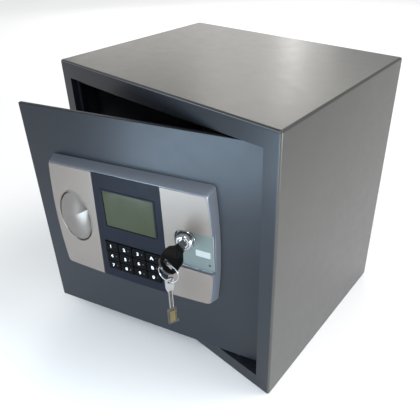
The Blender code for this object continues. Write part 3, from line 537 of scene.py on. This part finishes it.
def make_carcase():
    """Body with its opening, jambs, lips and bores; rear sheet, mat and hinge pieces."""
    low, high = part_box("carcase_wrap")
    look = LOOKS["grey_paint"]
    shell = box("carcase_shell", low, high, look, 3.2 * MM, 5)
    depth = FRONT_Y + 4 * MM
    inside = box("inside", (low.x + SHEET, depth, low.z + SHEET),
                 (high.x - SHEET, high.y + 0.1, high.z - SHEET), look)
    hole = box("hole", (-OPEN_HALF_W, FRONT_Y - 0.05, OPEN_LOW), (OPEN_HALF_W, depth + MM, OPEN_HIGH), look)
    combine(shell, inside)
    combine(shell, hole)
    outer = OPEN_HALF_W + SHEET
    ring = box("ring", (-outer, depth - 2 * MM, OPEN_LOW - SHEET), (outer, JAMB_BACK, OPEN_HIGH + SHEET),
               look)
    bore = box("bore", (-OPEN_HALF_W, depth - 4 * MM, OPEN_LOW), (OPEN_HALF_W, JAMB_BACK + MM, OPEN_HIGH),
               look)
    combine(ring, bore)
    combine(shell, ring, operation="UNION")
    lip_front, lip_back, lip_end = FRONT_Y + 9 * MM, FRONT_Y + 12 * MM, 95 * MM
    lips = (((MM - outer, OPEN_LOW - MM), (6 * MM - OPEN_HALF_W, OPEN_HIGH + MM)),
            ((2 * MM - outer, OPEN_LOW - MM), (lip_end, OPEN_LOW + 12 * MM)),
            ((2 * MM - outer, OPEN_HIGH - 7 * MM), (lip_end, OPEN_HIGH + MM)))
    for near, far in lips:
        lip = box("lip", (near[0], lip_front, near[1]), (far[0], lip_back, far[1]), look)
        combine(shell, lip, operation="UNION")
    drills = [rod("drill", ANCHOR_R, 10 * MM, (side * ANCHOR_X, ANCHOR_Y, 0), (0, 0, 1), look)
              for side in (-1, 1)]
    for bolt in ("lower_bolt", "upper_bolt"):
        ends = closed_box(bolt)
        middle = (ends[0] + ends[1]) / 2
        keeper = (ends[1].z - ends[0].z) / 2 + 1.2 * MM
        drills.append(rod("drill", keeper, 10 * MM, (-OPEN_HALF_W, middle.y, middle.z), (1, 0, 0), look))
    for height in (OPEN_LOW, OPEN_HIGH):
        drills.append(rod("drill", 3.3 * MM, 6 * MM, (PIVOT.x, PIVOT.y, height), (0, 0, 1), look, 32))
    combine(shell, *drills)
    polish(shell, 0.7 * MM)
    # Painted shade on the front plate and jambs, and painted light inside the walls, face by face.
    paint_front_shade_and_inner_light(shell, low, high)
    hang(shell, "carcase", ["carcase_wrap", "front_frame"], STILL)

    low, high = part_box("rear_panel")
    rear = box("rear_plate", low, high, look)
    middle = (low.z + high.z) / 2
    tools = [rod("drill", ANCHOR_R, 10 * MM, (side * ANCHOR_X, high.y, middle), (0, 1, 0), look)
             for side in (-1, 1)]
    weld_inset, across, up = 9 * MM, 5, 5
    spots = [(low.x + weld_inset + (high.x - low.x - 2 * weld_inset) * step / (across - 1), edge)
             for step in range(across) for edge in (low.z + weld_inset, high.z - weld_inset)]
    spots += [(edge, low.z + weld_inset + (high.z - low.z - 2 * weld_inset) * step / (up - 1))
              for step in range(1, up - 1) for edge in (low.x + weld_inset, high.x - weld_inset)]
    dish, sink = 9 * MM, 0.4 * MM
    for x, z in spots:
        bm = bmesh.new()
        bmesh.ops.create_uvsphere(bm, u_segments=24, v_segments=16, radius=dish)
        bmesh.ops.translate(bm, vec=(x, high.y + dish - sink, z), verts=bm.verts)
        tools.append(from_bm("weld", bm, look))
    combine(rear, *tools)
    polish(rear, 0.35 * MM)
    hang(rear, "carcase", ["rear_panel"], STILL)
    refined("floor_mat", 1.2 * MM, 3)
    for node in ("upper_hinge_pin", "lower_hinge_pin", "upper_hinge_collar", "lower_hinge_collar"):
        refined(node, 0.25 * MM)


def paint_front_shade_and_inner_light(shell, low, high):
    """Painted shade on the front and painted light inside: the darker bluish door paint on the front plate
    and the jambs, though the body is one paint, and the lighter inner paint inside the walls, which
    brightens the unlit inside.
    """
    wall = 2 * MM
    shell.data.materials.append(LOOKS["door_paint"])
    shell.data.materials.append(LOOKS["inner_paint"])
    for face in shell.data.polygons:
        spot = face.center
        beside = max(abs(spot.x) - OPEN_HALF_W, OPEN_LOW - spot.z, spot.z - OPEN_HIGH)
        # Painted shade: front-facing faces and the jambs take the darker bluish door paint.
        if face.normal.y < -0.9 or beside < 0.5 * MM and spot.y < JAMB_BACK + MM:
            face.material_index = 1
        # Painted light: faces inside the walls take the lighter inner paint.
        elif max(abs(spot.x) - high.x + wall, low.z + wall / 2 - spot.z, spot.z - high.z + wall / 2) < 0:
            face.material_index = 2


# ---------------------------------------------------------------- door shell and what it holds

def make_door():
    """Steel leaf with a bore for the lock, and the mechanism behind it."""
    low, high = closed_box("door_plate")
    look = LOOKS["door_paint"]
    slab = box("door_slab", low, high, look)
    bore = rod("bore", 9.8 * MM, 20 * MM, (LOCK.x, low.y, LOCK.z), (0, -1, 0), look)
    combine(slab, bore)
    polish(slab, 0.9 * MM, 3)
    hang(slab, "door", ["door_plate"])
    edges = {"door_pan": 0.6, "inner_cover": 0.45, "battery_tray": 0.3, "gear_motor": 0.5,
             "circuit_board": 0.2, "keypad_board": 0.2, "lcd_module": 0.3, "lock_nut": 0.4,
             "guide_post": 0.25, "upper_bolt_guide": 0.4, "lower_bolt_guide": 0.4, "bolt_carriage": 0.3,
             "lower_bolt": 0.3, "upper_bolt": 0.3, "motor_pinion": 0.15, "lock_cam": 0.25,
             "reset_button": 0.3}
    for node, width in edges.items():
        refined(node, width * MM)
    for number in range(1, 5):
        refined(f"battery_{number}", 0.3 * MM)
        make_screw(f"cover_screw_{number}")
    make_battery_lid()


def make_screw(node):
    """Domed screw head with a cross slot."""
    low, high = closed_box(node)
    middle = (low + high) / 2
    radius = (high.x - low.x) / 2
    head = 1.8 * MM
    seat = high.y - head
    shank = 1.6 * MM
    profile = [(0, head), (radius * 0.35, head * 0.97), (radius * 0.7, head * 0.78),
               (radius * 0.93, head * 0.42), (radius, 0.12 * MM), (radius * 0.98, 0), (shank, 0),
               (shank, low.y - seat), (0, low.y - seat)]
    screw = lathe(node + "_detail", profile, (middle.x, seat, middle.z), (0, 1, 0), LOOKS["zinc"], 40)
    arm, half = 1.9 * MM, 0.38 * MM
    slots = [box("slot", (middle.x - wide, seat + 0.9 * MM, middle.z - tall),
                 (middle.x + wide, seat + 3 * MM, middle.z + tall), LOOKS["zinc"])
             for wide, tall in ((arm, half), (half, arm))]
    combine(screw, *slots)
    hang(shade(screw, 30), "door", [node])


def make_battery_lid():
    """Lid with a row of grip ribs."""
    low, high = closed_box("battery_cover")
    look = LOOKS["black_plastic"]
    lid = box("battery_lid", low, high, look)
    ribs = []
    count, pitch, rise, half_wide, half_tall = 6, 3.2 * MM, 0.7 * MM, 0.7 * MM, 9 * MM
    middle = (low + high) / 2
    for step in range(count):
        x = high.x - 12 * MM - step * pitch
        ribs.append(box("rib", (x - half_wide, high.y - 0.5 * MM, middle.z - half_tall),
                        (x + half_wide, high.y + rise, middle.z + half_tall), look))
    combine(lid, *ribs, operation="UNION")
    polish(lid, 0.3 * MM)
    hang(lid, "battery_lid", ["battery_cover"])


# ---------------------------------------------------------------- control panel

def recess_outline(reach, inset=0.0):
    """Outline of the lock recess, which is round about the lock and open at the right."""
    left, low, high = RECESS
    right = PANEL_RIGHT + reach
    foot = Vector((left + inset, low + inset))
    points = [Vector((left + inset, high - inset)), Vector((right, high - inset)),
              Vector((right, low + inset)), foot]
    points = round_corner(points, 0, 14 * MM, 14)
    points = round_corner(points, nearest(points, foot), 2.5 * MM)
    return [(point.x, point.y) for point in points]


def make_housing():
    """Moulded body of the panel, near the door's colour, whose flanks spread towards the door. Its paint is
    lighter than the door's: painted light for the light that its slopes catch and reflect.
    """
    look = LOOKS["housing_paint"]
    rim = 1.4 * MM
    depth = PANEL_BACK - PANEL_FACE
    edge = ((-2.6 * MM, 0), (-0.7 * MM, 0), (-0.22 * MM, 0.12 * MM), (0.0, 0.5 * MM))
    stages = [([grow] * 5, PLATE_RISE + sink) for grow, sink in edge]
    steps = 10
    for share in [step / steps for step in range(1, steps + 1)]:
        stages.append(([side * share ** 0.92 for side in PANEL_FLARE], rim + (depth - rim) * share))
    rings = [[(point.x, PANEL_FACE + sink, point.y) for point in panel_outline(grow, 320)]
             for grow, sink in stages]
    housing = loft("panel_housing", rings, look)
    far = 60 * MM
    tools = [prism("mouth", pull_mouth(0.2 * MM), PANEL_FACE - far, PANEL_BACK + far, look)]
    left, low, high = RECESS
    tools.append(prism("notch", recess_outline(far), PANEL_FACE - far, RECESS_FLOOR + 2 * MM, look))
    tools.append(box("well", (left + 1.5 * MM, PANEL_FACE - far, low + 1.5 * MM),
                     (PANEL_RIGHT - 4 * MM, PANEL_BACK + far, high - 1.5 * MM), look))
    for corners in (closed_box("lcd_window"), keypad_box()):
        tools.append(window(corners, 0.3 * MM, PANEL_FACE - far, PANEL_FACE + 9 * MM, look))
    for tool in tools:
        combine(housing, tool)
    hang(shade(housing, 24), "door")


def window(corners, gap, front, back, look):
    """Cutter for a window round a box, with a gap to it on all four sides."""
    low, high = corners
    return box("window", (low.x - gap, front, low.z - gap), (high.x + gap, back, high.z + gap), look)


def keypad_box():
    """Space that the keys stand in."""
    boxes = [closed_box(node) for node in NODES if SLOTS[node] == "key_plastic"]
    edge = Vector((0.6 * MM, 0, 0.6 * MM))
    low = Vector([min(pair[0][axis] for pair in boxes) for axis in range(3)]) - edge
    high = Vector([max(pair[1][axis] for pair in boxes) for axis in range(3)]) + edge
    return low, high


def make_plates():
    """Silver end caps and the dark fascia between them, on the housing's face."""
    silver, navy = LOOKS["silver_plastic"], LOOKS["navy_plastic"]
    inset = [-0.75 * MM] * 5
    outline = [(point.x, point.y) for point in panel_outline(inset)]
    far = 0.4
    gap = 0.2 * MM
    back = PANEL_FACE + PLATE_RISE + 0.6 * MM
    seams = {
        "left_cap": ((-far, -far), [seam - gap for seam in SEAM_LEFT], PANEL_FACE, silver),
        "fascia": ([seam + gap for seam in SEAM_LEFT], [seam - gap for seam in SEAM_RIGHT],
                   PANEL_FACE + 0.2 * MM, navy),
        "right_cap": ([seam + gap for seam in SEAM_RIGHT], (far, far), PANEL_FACE, silver),
    }
    plates = {}
    for name, (left, right, front, look) in seams.items():
        plate = prism(name, outline, front, back, look)
        keep = prism("keep", wedge(left, right), front - 0.05, back + 0.05, look)
        plates[name] = combine(plate, keep, operation="INTERSECT")
    cut = (PANEL_FACE - 0.05, back + 0.05)
    combine(plates["left_cap"], prism("mouth", pull_mouth(1.15 * MM), *cut, silver))
    combine(plates["right_cap"], prism("notch", recess_outline(far), *cut, silver))
    combine(plates["fascia"], window(closed_box("lcd_window"), 0.2 * MM, *cut, navy))
    combine(plates["fascia"], window(keypad_box(), 0, *cut, navy))
    polish(plates["left_cap"], 0.45 * MM, 3)
    polish(plates["right_cap"], 0.45 * MM, 3)
    polish(plates["fascia"], 0.3 * MM)
    hang(plates["left_cap"], "door", ["panel_left"])
    hang(plates["fascia"], "door", ["panel_centre"])
    hang(plates["right_cap"], "door", ["panel_right"])


def smooth(share):
    """Ease in and out between 0 and 1."""
    share = max(0.0, min(1.0, share))
    return share * share * (3 - 2 * share)


def pull_sink(across, up):
    """Depth of the dish, as a share of the deepest, at a place in the unit circle.

    The upper side sinks smoothly from the face of the cap to a straight crease, which is deepest on the
    right; the lower side climbs out of it and ends at a low wall.
    """
    rim = math.sqrt(max(0.0, 1 - across * across))
    crease = max(-rim, min(rim, CREASE_SLOPE * across + CREASE_RISE))
    depth = 0.04 + 0.96 * smooth((across + 0.6) / 1.55) ** 2.6
    if up > crease:
        share = (up - crease) / max(rim - crease, 1e-6)
        side = (1 - min(share, 1.0)) ** 1.8
    else:
        share = (crease - up) / max(rim + crease, 1e-6)
        side = 0.12 + 0.88 * (1 - min(share, 1.0)) ** 2.9
    wall = min(1.0, 8 * (1 - math.hypot(across, up)))
    return depth * side * wall ** 0.7


def make_pull():
    """Oval finger pull with a groove round its left and lower edge, which runs out at the upper right.

    The spokes of its mesh are spaced so that two of them lie in the crease.
    """
    half, steps, reach = 80, 44, 0.96
    root = math.sqrt(1 + CREASE_SLOPE ** 2 - CREASE_RISE ** 2)
    right, left = [(-CREASE_SLOPE * CREASE_RISE + sign * root) / (1 + CREASE_SLOPE ** 2)
                   for sign in (1, -1)]
    start = math.acos(right)
    middle = 2 * math.pi - math.acos(left)
    turns = [start + (middle - start) * step / half for step in range(half)]
    turns += [middle + (start + 2 * math.pi - middle) * step / half for step in range(half)]
    run_out = math.radians(40)
    flush = -0.03
    # From outside in: share of the oval's size, and depth in millimetres
    groove = [(1.036, 0.35), (1.034, -0.12), (1.022, -0.3), (1.01, -0.1), (1.0, 1.5), (0.986, 2.1),
              (0.972, 1.5), (0.962, 0.2)]

    def at(scale, turn, sink):
        return (PULL_CENTRE.x + PULL_HALF[0] * scale * math.cos(turn), PULL_CENTRE.y + sink,
                PULL_CENTRE.z + PULL_HALF[1] * scale * math.sin(turn))

    rings = []
    for scale, sink in groove:
        ring = []
        for turn in turns:
            share = smooth((0.62 - math.cos(turn - run_out)) / 0.5)
            spread = 0.04 * (1 - share) if scale > 1.03 else 0.0
            ring.append(at(scale + spread, turn, (sink * share + flush * (1 - share)) * MM))
        rings.append(ring)
    for step in range(1, steps):
        share = 1 - step / steps
        ring = []
        for turn in turns:
            across = share * math.cos(turn)
            up = share * math.sin(turn) + (1 - share) * CREASE_RISE
            ring.append((PULL_CENTRE.x + reach * PULL_HALF[0] * across,
                         PULL_CENTRE.y + PULL_DEPTH * pull_sink(across, up),
                         PULL_CENTRE.z + reach * PULL_HALF[1] * up))
        rings.append(ring)
    dish = loft("pull_dish", rings, LOOKS["pull_silver"], caps=(False, True))
    wall = dish.modifiers.new("wall", "SOLIDIFY")
    wall.thickness = 0.4 * MM
    wall.offset = -1
    settle(dish)
    hang(shade(dish, 70), "door", ["finger_pull"])


def make_display():
    """Window glass and the flat bezel round it."""
    low, high = closed_box("lcd_window")
    navy = LOOKS["navy_plastic"]
    width, front, back = 2.6 * MM, PANEL_FACE - 0.35 * MM, PANEL_FACE + 1.5 * MM
    bezel = box("lcd_bezel", (low.x - width, front, low.z - width),
                (high.x + width, back, high.z + width), navy)
    combine(bezel, window((low, high), 0, front - 0.01, back + 0.01, navy))
    polish(bezel, 0.35 * MM, 3)
    hang(bezel, "door")
    glass = box("lcd_glass", low, high, LOOKS["lcd_glass"])
    polish(glass, 0.25 * MM)
    hang(glass, "door", ["lcd_window"])


def make_keys():
    """Twelve keys, each with a large digit or letter and a small second mark to its right."""
    second = dict(zip("0123456789AB", "+-abcdefgh*#"))
    for text in "123A456B7890":
        node = "key_" + text.lower()
        low, high = closed_box(node)
        body = NODES[node]["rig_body"]
        hang(crowned_key(node + "_cap", low, high), body, [node])
        middle = (low + high) / 2
        face = low.y - 0.02 * MM
        words(node + "_digit", text, 6.8 * MM, (middle.x - 1.4 * MM, face, middle.z), PRINT, body,
              0.25 * MM)
        words(node + "_letter", second[text], 3.2 * MM, (middle.x + 5.0 * MM, face, middle.z + 1.0 * MM),
              FAINT_PRINT, body)


def crowned_key(name, low, high):
    """Key cap with rounded corners and a soft shoulder."""
    rings = []
    wide, tall = (high.x - low.x) / 2, (high.z - low.z) / 2
    middle = (low + high) / 2
    corner = 1.5 * MM
    crown = ((1.6, 0.0), (0.9, 0.04), (0.4, 0.22), (0.12, 0.6), (0.0, 1.2), (0.0, 4.8))
    for inset, sink in crown:
        half = (wide - inset * MM, tall - inset * MM)
        turn = max(corner - inset * MM * 0.5, 0.4 * MM)
        ring = []
        for quarter in range(4):
            centre_x = middle.x + (1, -1, -1, 1)[quarter] * (half[0] - turn)
            centre_z = middle.z + (1, 1, -1, -1)[quarter] * (half[1] - turn)
            for angle in [math.pi / 2 * (quarter + step / 6) for step in range(7)]:
                ring.append((centre_x + turn * math.cos(angle), low.y + sink * MM,
                             centre_z + turn * math.sin(angle)))
        rings.append(ring)
    return shade(loft(name, rings, LOOKS["key_plastic"]), 60)


# ---------------------------------------------------------------- emergency lock

def make_recess():
    """Floor of the lock recess with its bright edge and a blank sticker."""
    left, low, high = RECESS
    look = LOOKS["recess_plastic"]
    right = PANEL_RIGHT + RECESS_REACH
    plain = [Vector(pair) for pair in recess_outline(RECESS_REACH, 0.25 * MM)]
    outline = round_corner(plain, nearest(plain, Vector((right, low))), 4.5 * MM)
    floor = prism("recess_floor", [(point.x, point.y) for point in outline], RECESS_FLOOR,
                  RECESS_FLOOR + 1.8 * MM, look)
    reach = 9 * MM
    screw = (LOCK.x + 30 * MM, RECESS_FLOOR, low + 11 * MM)
    barrel_hole = rod("hole", 9.7 * MM, reach, (LOCK.x, RECESS_FLOOR, LOCK.z), (0, -1, 0), look, 64)
    screw_hole = rod("hole", 1.8 * MM, reach, screw, (0, -1, 0), look, 32)
    combine(floor, barrel_hole, screw_hole)
    polish(floor, 0.3 * MM)
    hang(floor, "door", ["lock_recess_floor"])

    bead = 0.55 * MM
    square = [Vector((left, high)), Vector((right, high)), Vector((right, low + bead)),
              Vector((left, low + bead))]
    arc_steps = 8
    arc = round_corner(square, 2, 5 * MM, arc_steps)[:arc_steps + 1]
    path = [Vector((left + 1.2 * MM, low + bead)), *arc[::-1], Vector((right, high - bead))]
    path = [(point.x, RECESS_FLOOR - 0.1 * MM, point.y) for point in path]
    hang(tube("recess_rim", path, bead, LOOKS["chrome"]), "door")

    left, right, low, high = 82 * MM, 101.5 * MM, 202.5 * MM, 212 * MM
    front, back = RECESS_FLOOR - 0.18 * MM, RECESS_FLOOR + 0.05 * MM
    sticker = box("blank_label", (left, front, low), (right, back, high), PAPER)
    bm = bmesh.new()
    bm.from_mesh(sticker.data)
    along = [edge for edge in bm.edges if abs((edge.verts[0].co - edge.verts[1].co).normalized().y) > 0.9]
    bmesh.ops.bevel(bm, geom=along, offset=1.2 * MM, segments=5, profile=0.5, affect="EDGES")
    bm.to_mesh(sticker.data)
    bm.free()
    hang(shade(sticker), "door")


def make_lock():
    """Cylinder barrel with a domed flange, and the plug that turns in it."""
    steel = LOOKS["chrome"]
    back = closed_box("lock_barrel")[1].y
    floor_front = back - RECESS_FLOOR
    front = back - BARREL_FRONT
    bore = 6.95 * MM
    flange = 12.5 * MM
    neck = 9.4 * MM
    lip = bore + 0.9 * MM
    profile = [(bore, front - 1.3 * MM), (bore + 0.3 * MM, front - 0.4 * MM), (lip, front)]
    dome = 12
    for angle in [math.pi / 2 * step / dome for step in range(1, dome + 1)]:
        profile.append((lip + (flange - 0.4 * MM - lip) * math.sin(angle),
                        front - (front - floor_front - 3.2 * MM) * (1 - math.cos(angle))))
    profile += [(flange - 0.4 * MM, floor_front + 2.2 * MM), (flange, floor_front + 1.8 * MM),
                (flange, floor_front + 0.25 * MM), (neck, floor_front + 0.25 * MM), (neck, 0), (bore, 0)]
    barrel = lathe("barrel_detail", profile, (LOCK.x, back, LOCK.z), (0, -1, 0), steel, 96)
    hang(shade(barrel, 40), "door", ["lock_barrel"])

    front -= 0.3 * MM
    radius = 6.7 * MM
    profile = [(0, front), (radius - 1.4 * MM, front), (radius - 0.5 * MM, front - 0.2 * MM),
               (radius, front - 0.8 * MM), (radius, 0), (0, 0)]
    plug = lathe("plug_detail", profile, (LOCK.x, back, LOCK.z), (0, -1, 0), steel)
    slot_wide, slot_tall = 4.7 * MM, 1.35 * MM
    keyway = box("keyway", (-slot_wide, BARREL_FRONT - 3 * MM, -slot_tall),
                 (slot_wide, BARREL_FRONT + 24 * MM, slot_tall), steel)
    keyway.data.transform(Matrix.Translation(LOCK) @ Matrix.Rotation(-KEY_TILT, 4, "Y"))
    combine(plug, keyway)
    hang(shade(plug, 40), "plug", ["lock_plug"])


def make_key():
    """Key in the lock: a moulded bow with a raised border and a slot for the ring, and the blade."""
    look = LOOKS["gloss_black"]
    start = BARREL_FRONT - 7 * MM
    length, half, neck, shoulder = 41 * MM, 13 * MM, 6.2 * MM, 13 * MM
    side = [Vector((-neck, 0)), Vector((-neck - 0.4 * MM, 4 * MM)), Vector((-half, shoulder))]
    top_centre = length - half
    steps = 28
    arch = [Vector((-half * math.cos(angle), top_centre + half * math.sin(angle)))
            for angle in [math.pi * step / steps for step in range(steps + 1)]]
    other = [Vector((-point.x, point.y)) for point in side[::-1]]
    outline = round_corner(side + arch + other, 2, 3 * MM)
    outline = round_corner(outline, nearest(outline, Vector((half, shoulder))), 3 * MM)
    face = 1.8 * MM
    bow = prism("key_bow_detail", [(point.x, point.y) for point in outline], -face, face, look)
    middle = 19 * MM
    inner = [(point.x * 0.78, middle + (point.y - middle) * 0.76) for point in outline]
    for sign in (-1, 1):
        combine(bow, prism("dip", inner, sign * (face - 0.5 * MM), sign * (face + 2 * MM), look))
    eye, eye_wide, eye_tall = 30.5 * MM, 6.8 * MM, 2.6 * MM
    slot = box("eye", (-eye_wide, -0.01, eye - eye_tall), (eye_wide, 0.01, eye + eye_tall), look)
    combine(bow, slot)
    polish(bow, 0.55 * MM, 3, 50)
    across = Vector((math.cos(KEY_TILT), 0, math.sin(KEY_TILT)))
    out = Vector((0, -1, 0))
    turn = Matrix((across, out.cross(across), out)).transposed().to_4x4()
    bow.data.transform(Matrix.Translation((LOCK.x, start, LOCK.z)) @ turn)
    hang(bow, "plug", ["key_bow"])
    refined("key_blade", 0.2 * MM)


def make_ring_and_spare():
    """Split ring of two turns and a bit, and the second key that hangs on it."""
    eye = Vector((LOCK.x, BARREL_FRONT - 37.5 * MM, LOCK.z))
    radius, wire, width = 12.5 * MM, 0.5 * MM, 1.15 * MM
    count = 96
    total = 2 * count + 8
    coil = []
    for step in range(total):
        angle = math.pi / 2 + 2 * math.pi * step / count
        coil.append((eye.x + radius * math.cos(angle), eye.y + (step / total - 0.5) * width,
                     eye.z - radius + radius * math.sin(angle)))
    hang(tube("split_ring", coil, wire, LOOKS["chrome"]), "ring", ["key_ring"])

    steel = LOOKS["worn_steel"]
    place = Matrix.Translation(eye - Vector((0, 0, 2 * radius))) @ Matrix.Rotation(math.radians(45), 4, "Z")
    outline = ((-4.2, 5.2), (4.2, 5.2), (5.4, 3.4), (5.4, -8), (3.8, -14), (2.7, -15.5), (2.7, -41),
               (5.5, -43), (5.5, -61), (7.5, -62), (7.5, -67), (-5.5, -67), (-5.5, -43), (-2.7, -41),
               (-2.7, -15.5), (-3.8, -14), (-5.4, -8), (-5.4, 3.4))
    face = 1.1 * MM
    key = prism("spare_key_detail", [(x * MM, z * MM) for x, z in outline], -face, face, steel)
    combine(key, rod("hole", 2.4 * MM, 9 * MM, (0, 0, 0), (0, 1, 0), steel, 40))
    half, top, foot = 1.3 * MM, -14 * MM, -41 * MM
    bed = face - 0.45 * MM
    grooves = [box("groove", (-half, near, foot), (half, far, top), steel)
               for near, far in ((-2 * face, -bed), (bed, 2 * face))]
    combine(key, *grooves)
    polish(key, 0.25 * MM)
    key.data.materials.append(LOOKS["bare_steel"])
    for polygon in key.data.polygons:
        polygon.material_index = int(polygon.center.z > -13 * MM)
    key.data.transform(place)
    hang(key, "spare", ["spare_key"])
    half, thick, top, foot = 3.4 * MM, face + 0.5 * MM, -46 * MM, -64 * MM
    insert = box("spare_key_insert", (-half, -thick, foot), (half, thick, top), LOOKS["brass"])
    polish(insert, 0.4 * MM)
    insert.data.transform(place)
    hang(insert, "spare")


# ---------------------------------------------------------------- surroundings

def make_surroundings():
    """Pale floor, soft sun and six lamps, each named after what it brightens."""
    bm = bmesh.new()
    bmesh.ops.create_grid(bm, x_segments=2, y_segments=2, size=9)
    bmesh.ops.translate(bm, vec=(0, 0, -0.2 * MM), verts=bm.verts)
    from_bm("pale_floor", bm, FLOOR)
    world = bpy.data.worlds.new("studio")
    SCENE.world = world
    world.use_nodes = True
    sky = world.node_tree.nodes["Background"]
    sky.inputs["Color"].default_value = (0.97, 0.985, 1.0, 1)
    sky.inputs["Strength"].default_value = 0.53
    sun = bpy.data.lights.new("soft_sun", "SUN")
    sun.energy = 1.35
    sun.angle = math.radians(30)
    add_light(sun, (0.55, 0.5, 0.8), (0, 0, 0))
    add_area("roof_light", (-1.2, 2.2, 2.0), (0, 0, 0.2), (1.6, 1.2), 15, (1.0, 0.985, 0.93))
    add_area("roof_sheen", (-1.7, 1.75, 1.0), (0, 0, 0.39), (1.9, 1.1), 7.4, (1.0, 0.975, 0.9))
    add_area("roof_streak", (-1.17, 2.1, 1.15), (0.05, 0.02, 0.39), (0.14, 1.0), 1.1, (1.0, 1.0, 1.0))
    add_area("flank_light", (0.95, -0.15, 0.12), (0.19, -0.05, 0.1), (0.5, 0.5), 8.5, (1.0, 1.0, 0.99))
    add_area("front_light", (0.1, -0.63, 0.03), (0.1, -0.2, 0.3), (0.5, 0.44), 6.6, (0.64, 0.84, 1.0))
    add_area("crown_light", (0.5, -1.0, 1.5), (0, -0.15, 0.25), (0.6, 0.6), 7, (0.9, 0.96, 1.0))


def add_light(light, where, aim):
    """Lamp at one place, aimed at another."""
    obj = bpy.data.objects.new(light.name, light)
    SCENE.collection.objects.link(obj)
    obj.location = where
    obj.rotation_euler = (Vector(aim) - Vector(where)).to_track_quat("-Z", "Y").to_euler()


def add_area(name, where, aim, size, power, colour):
    """Rectangular lamp; sizes in metres, power in watts."""
    light = bpy.data.lights.new(name, "AREA")
    light.shape = "RECTANGLE"
    light.size, light.size_y = size
    light.energy = power
    light.color = colour
    add_light(light, where, aim)


def make_camera():
    """Camera to the right of the safe and above it, turned down and to the left."""
    right = Vector((0.74652, 0.66484, -0.02649))
    up = Vector((-0.2868, 0.35745, 0.88881))
    camera = bpy.data.cameras.new("camera")
    camera.sensor_width = 36
    camera.lens = 37.8
    camera.shift_y = -1 / 6
    obj = bpy.data.objects.new("camera", camera)
    SCENE.collection.objects.link(obj)
    turn = Matrix((right, up, right.cross(up))).transposed().to_4x4()
    obj.matrix_world = Matrix.Translation((0.38735, FRONT_Y - 0.31498, 0.57373)) @ turn
    SCENE.camera = obj


for node, obj in NODES.items():
    obj.data.materials.clear()
    obj.data.materials.append(LOOKS[SLOTS[node]])
make_carcase()
make_door()
make_housing()
make_plates()
make_pull()
make_display()
make_keys()
make_recess()
make_lock()
make_key()
make_ring_and_spare()
make_surroundings()
make_camera()
SCENE.view_settings.view_transform = "Standard"
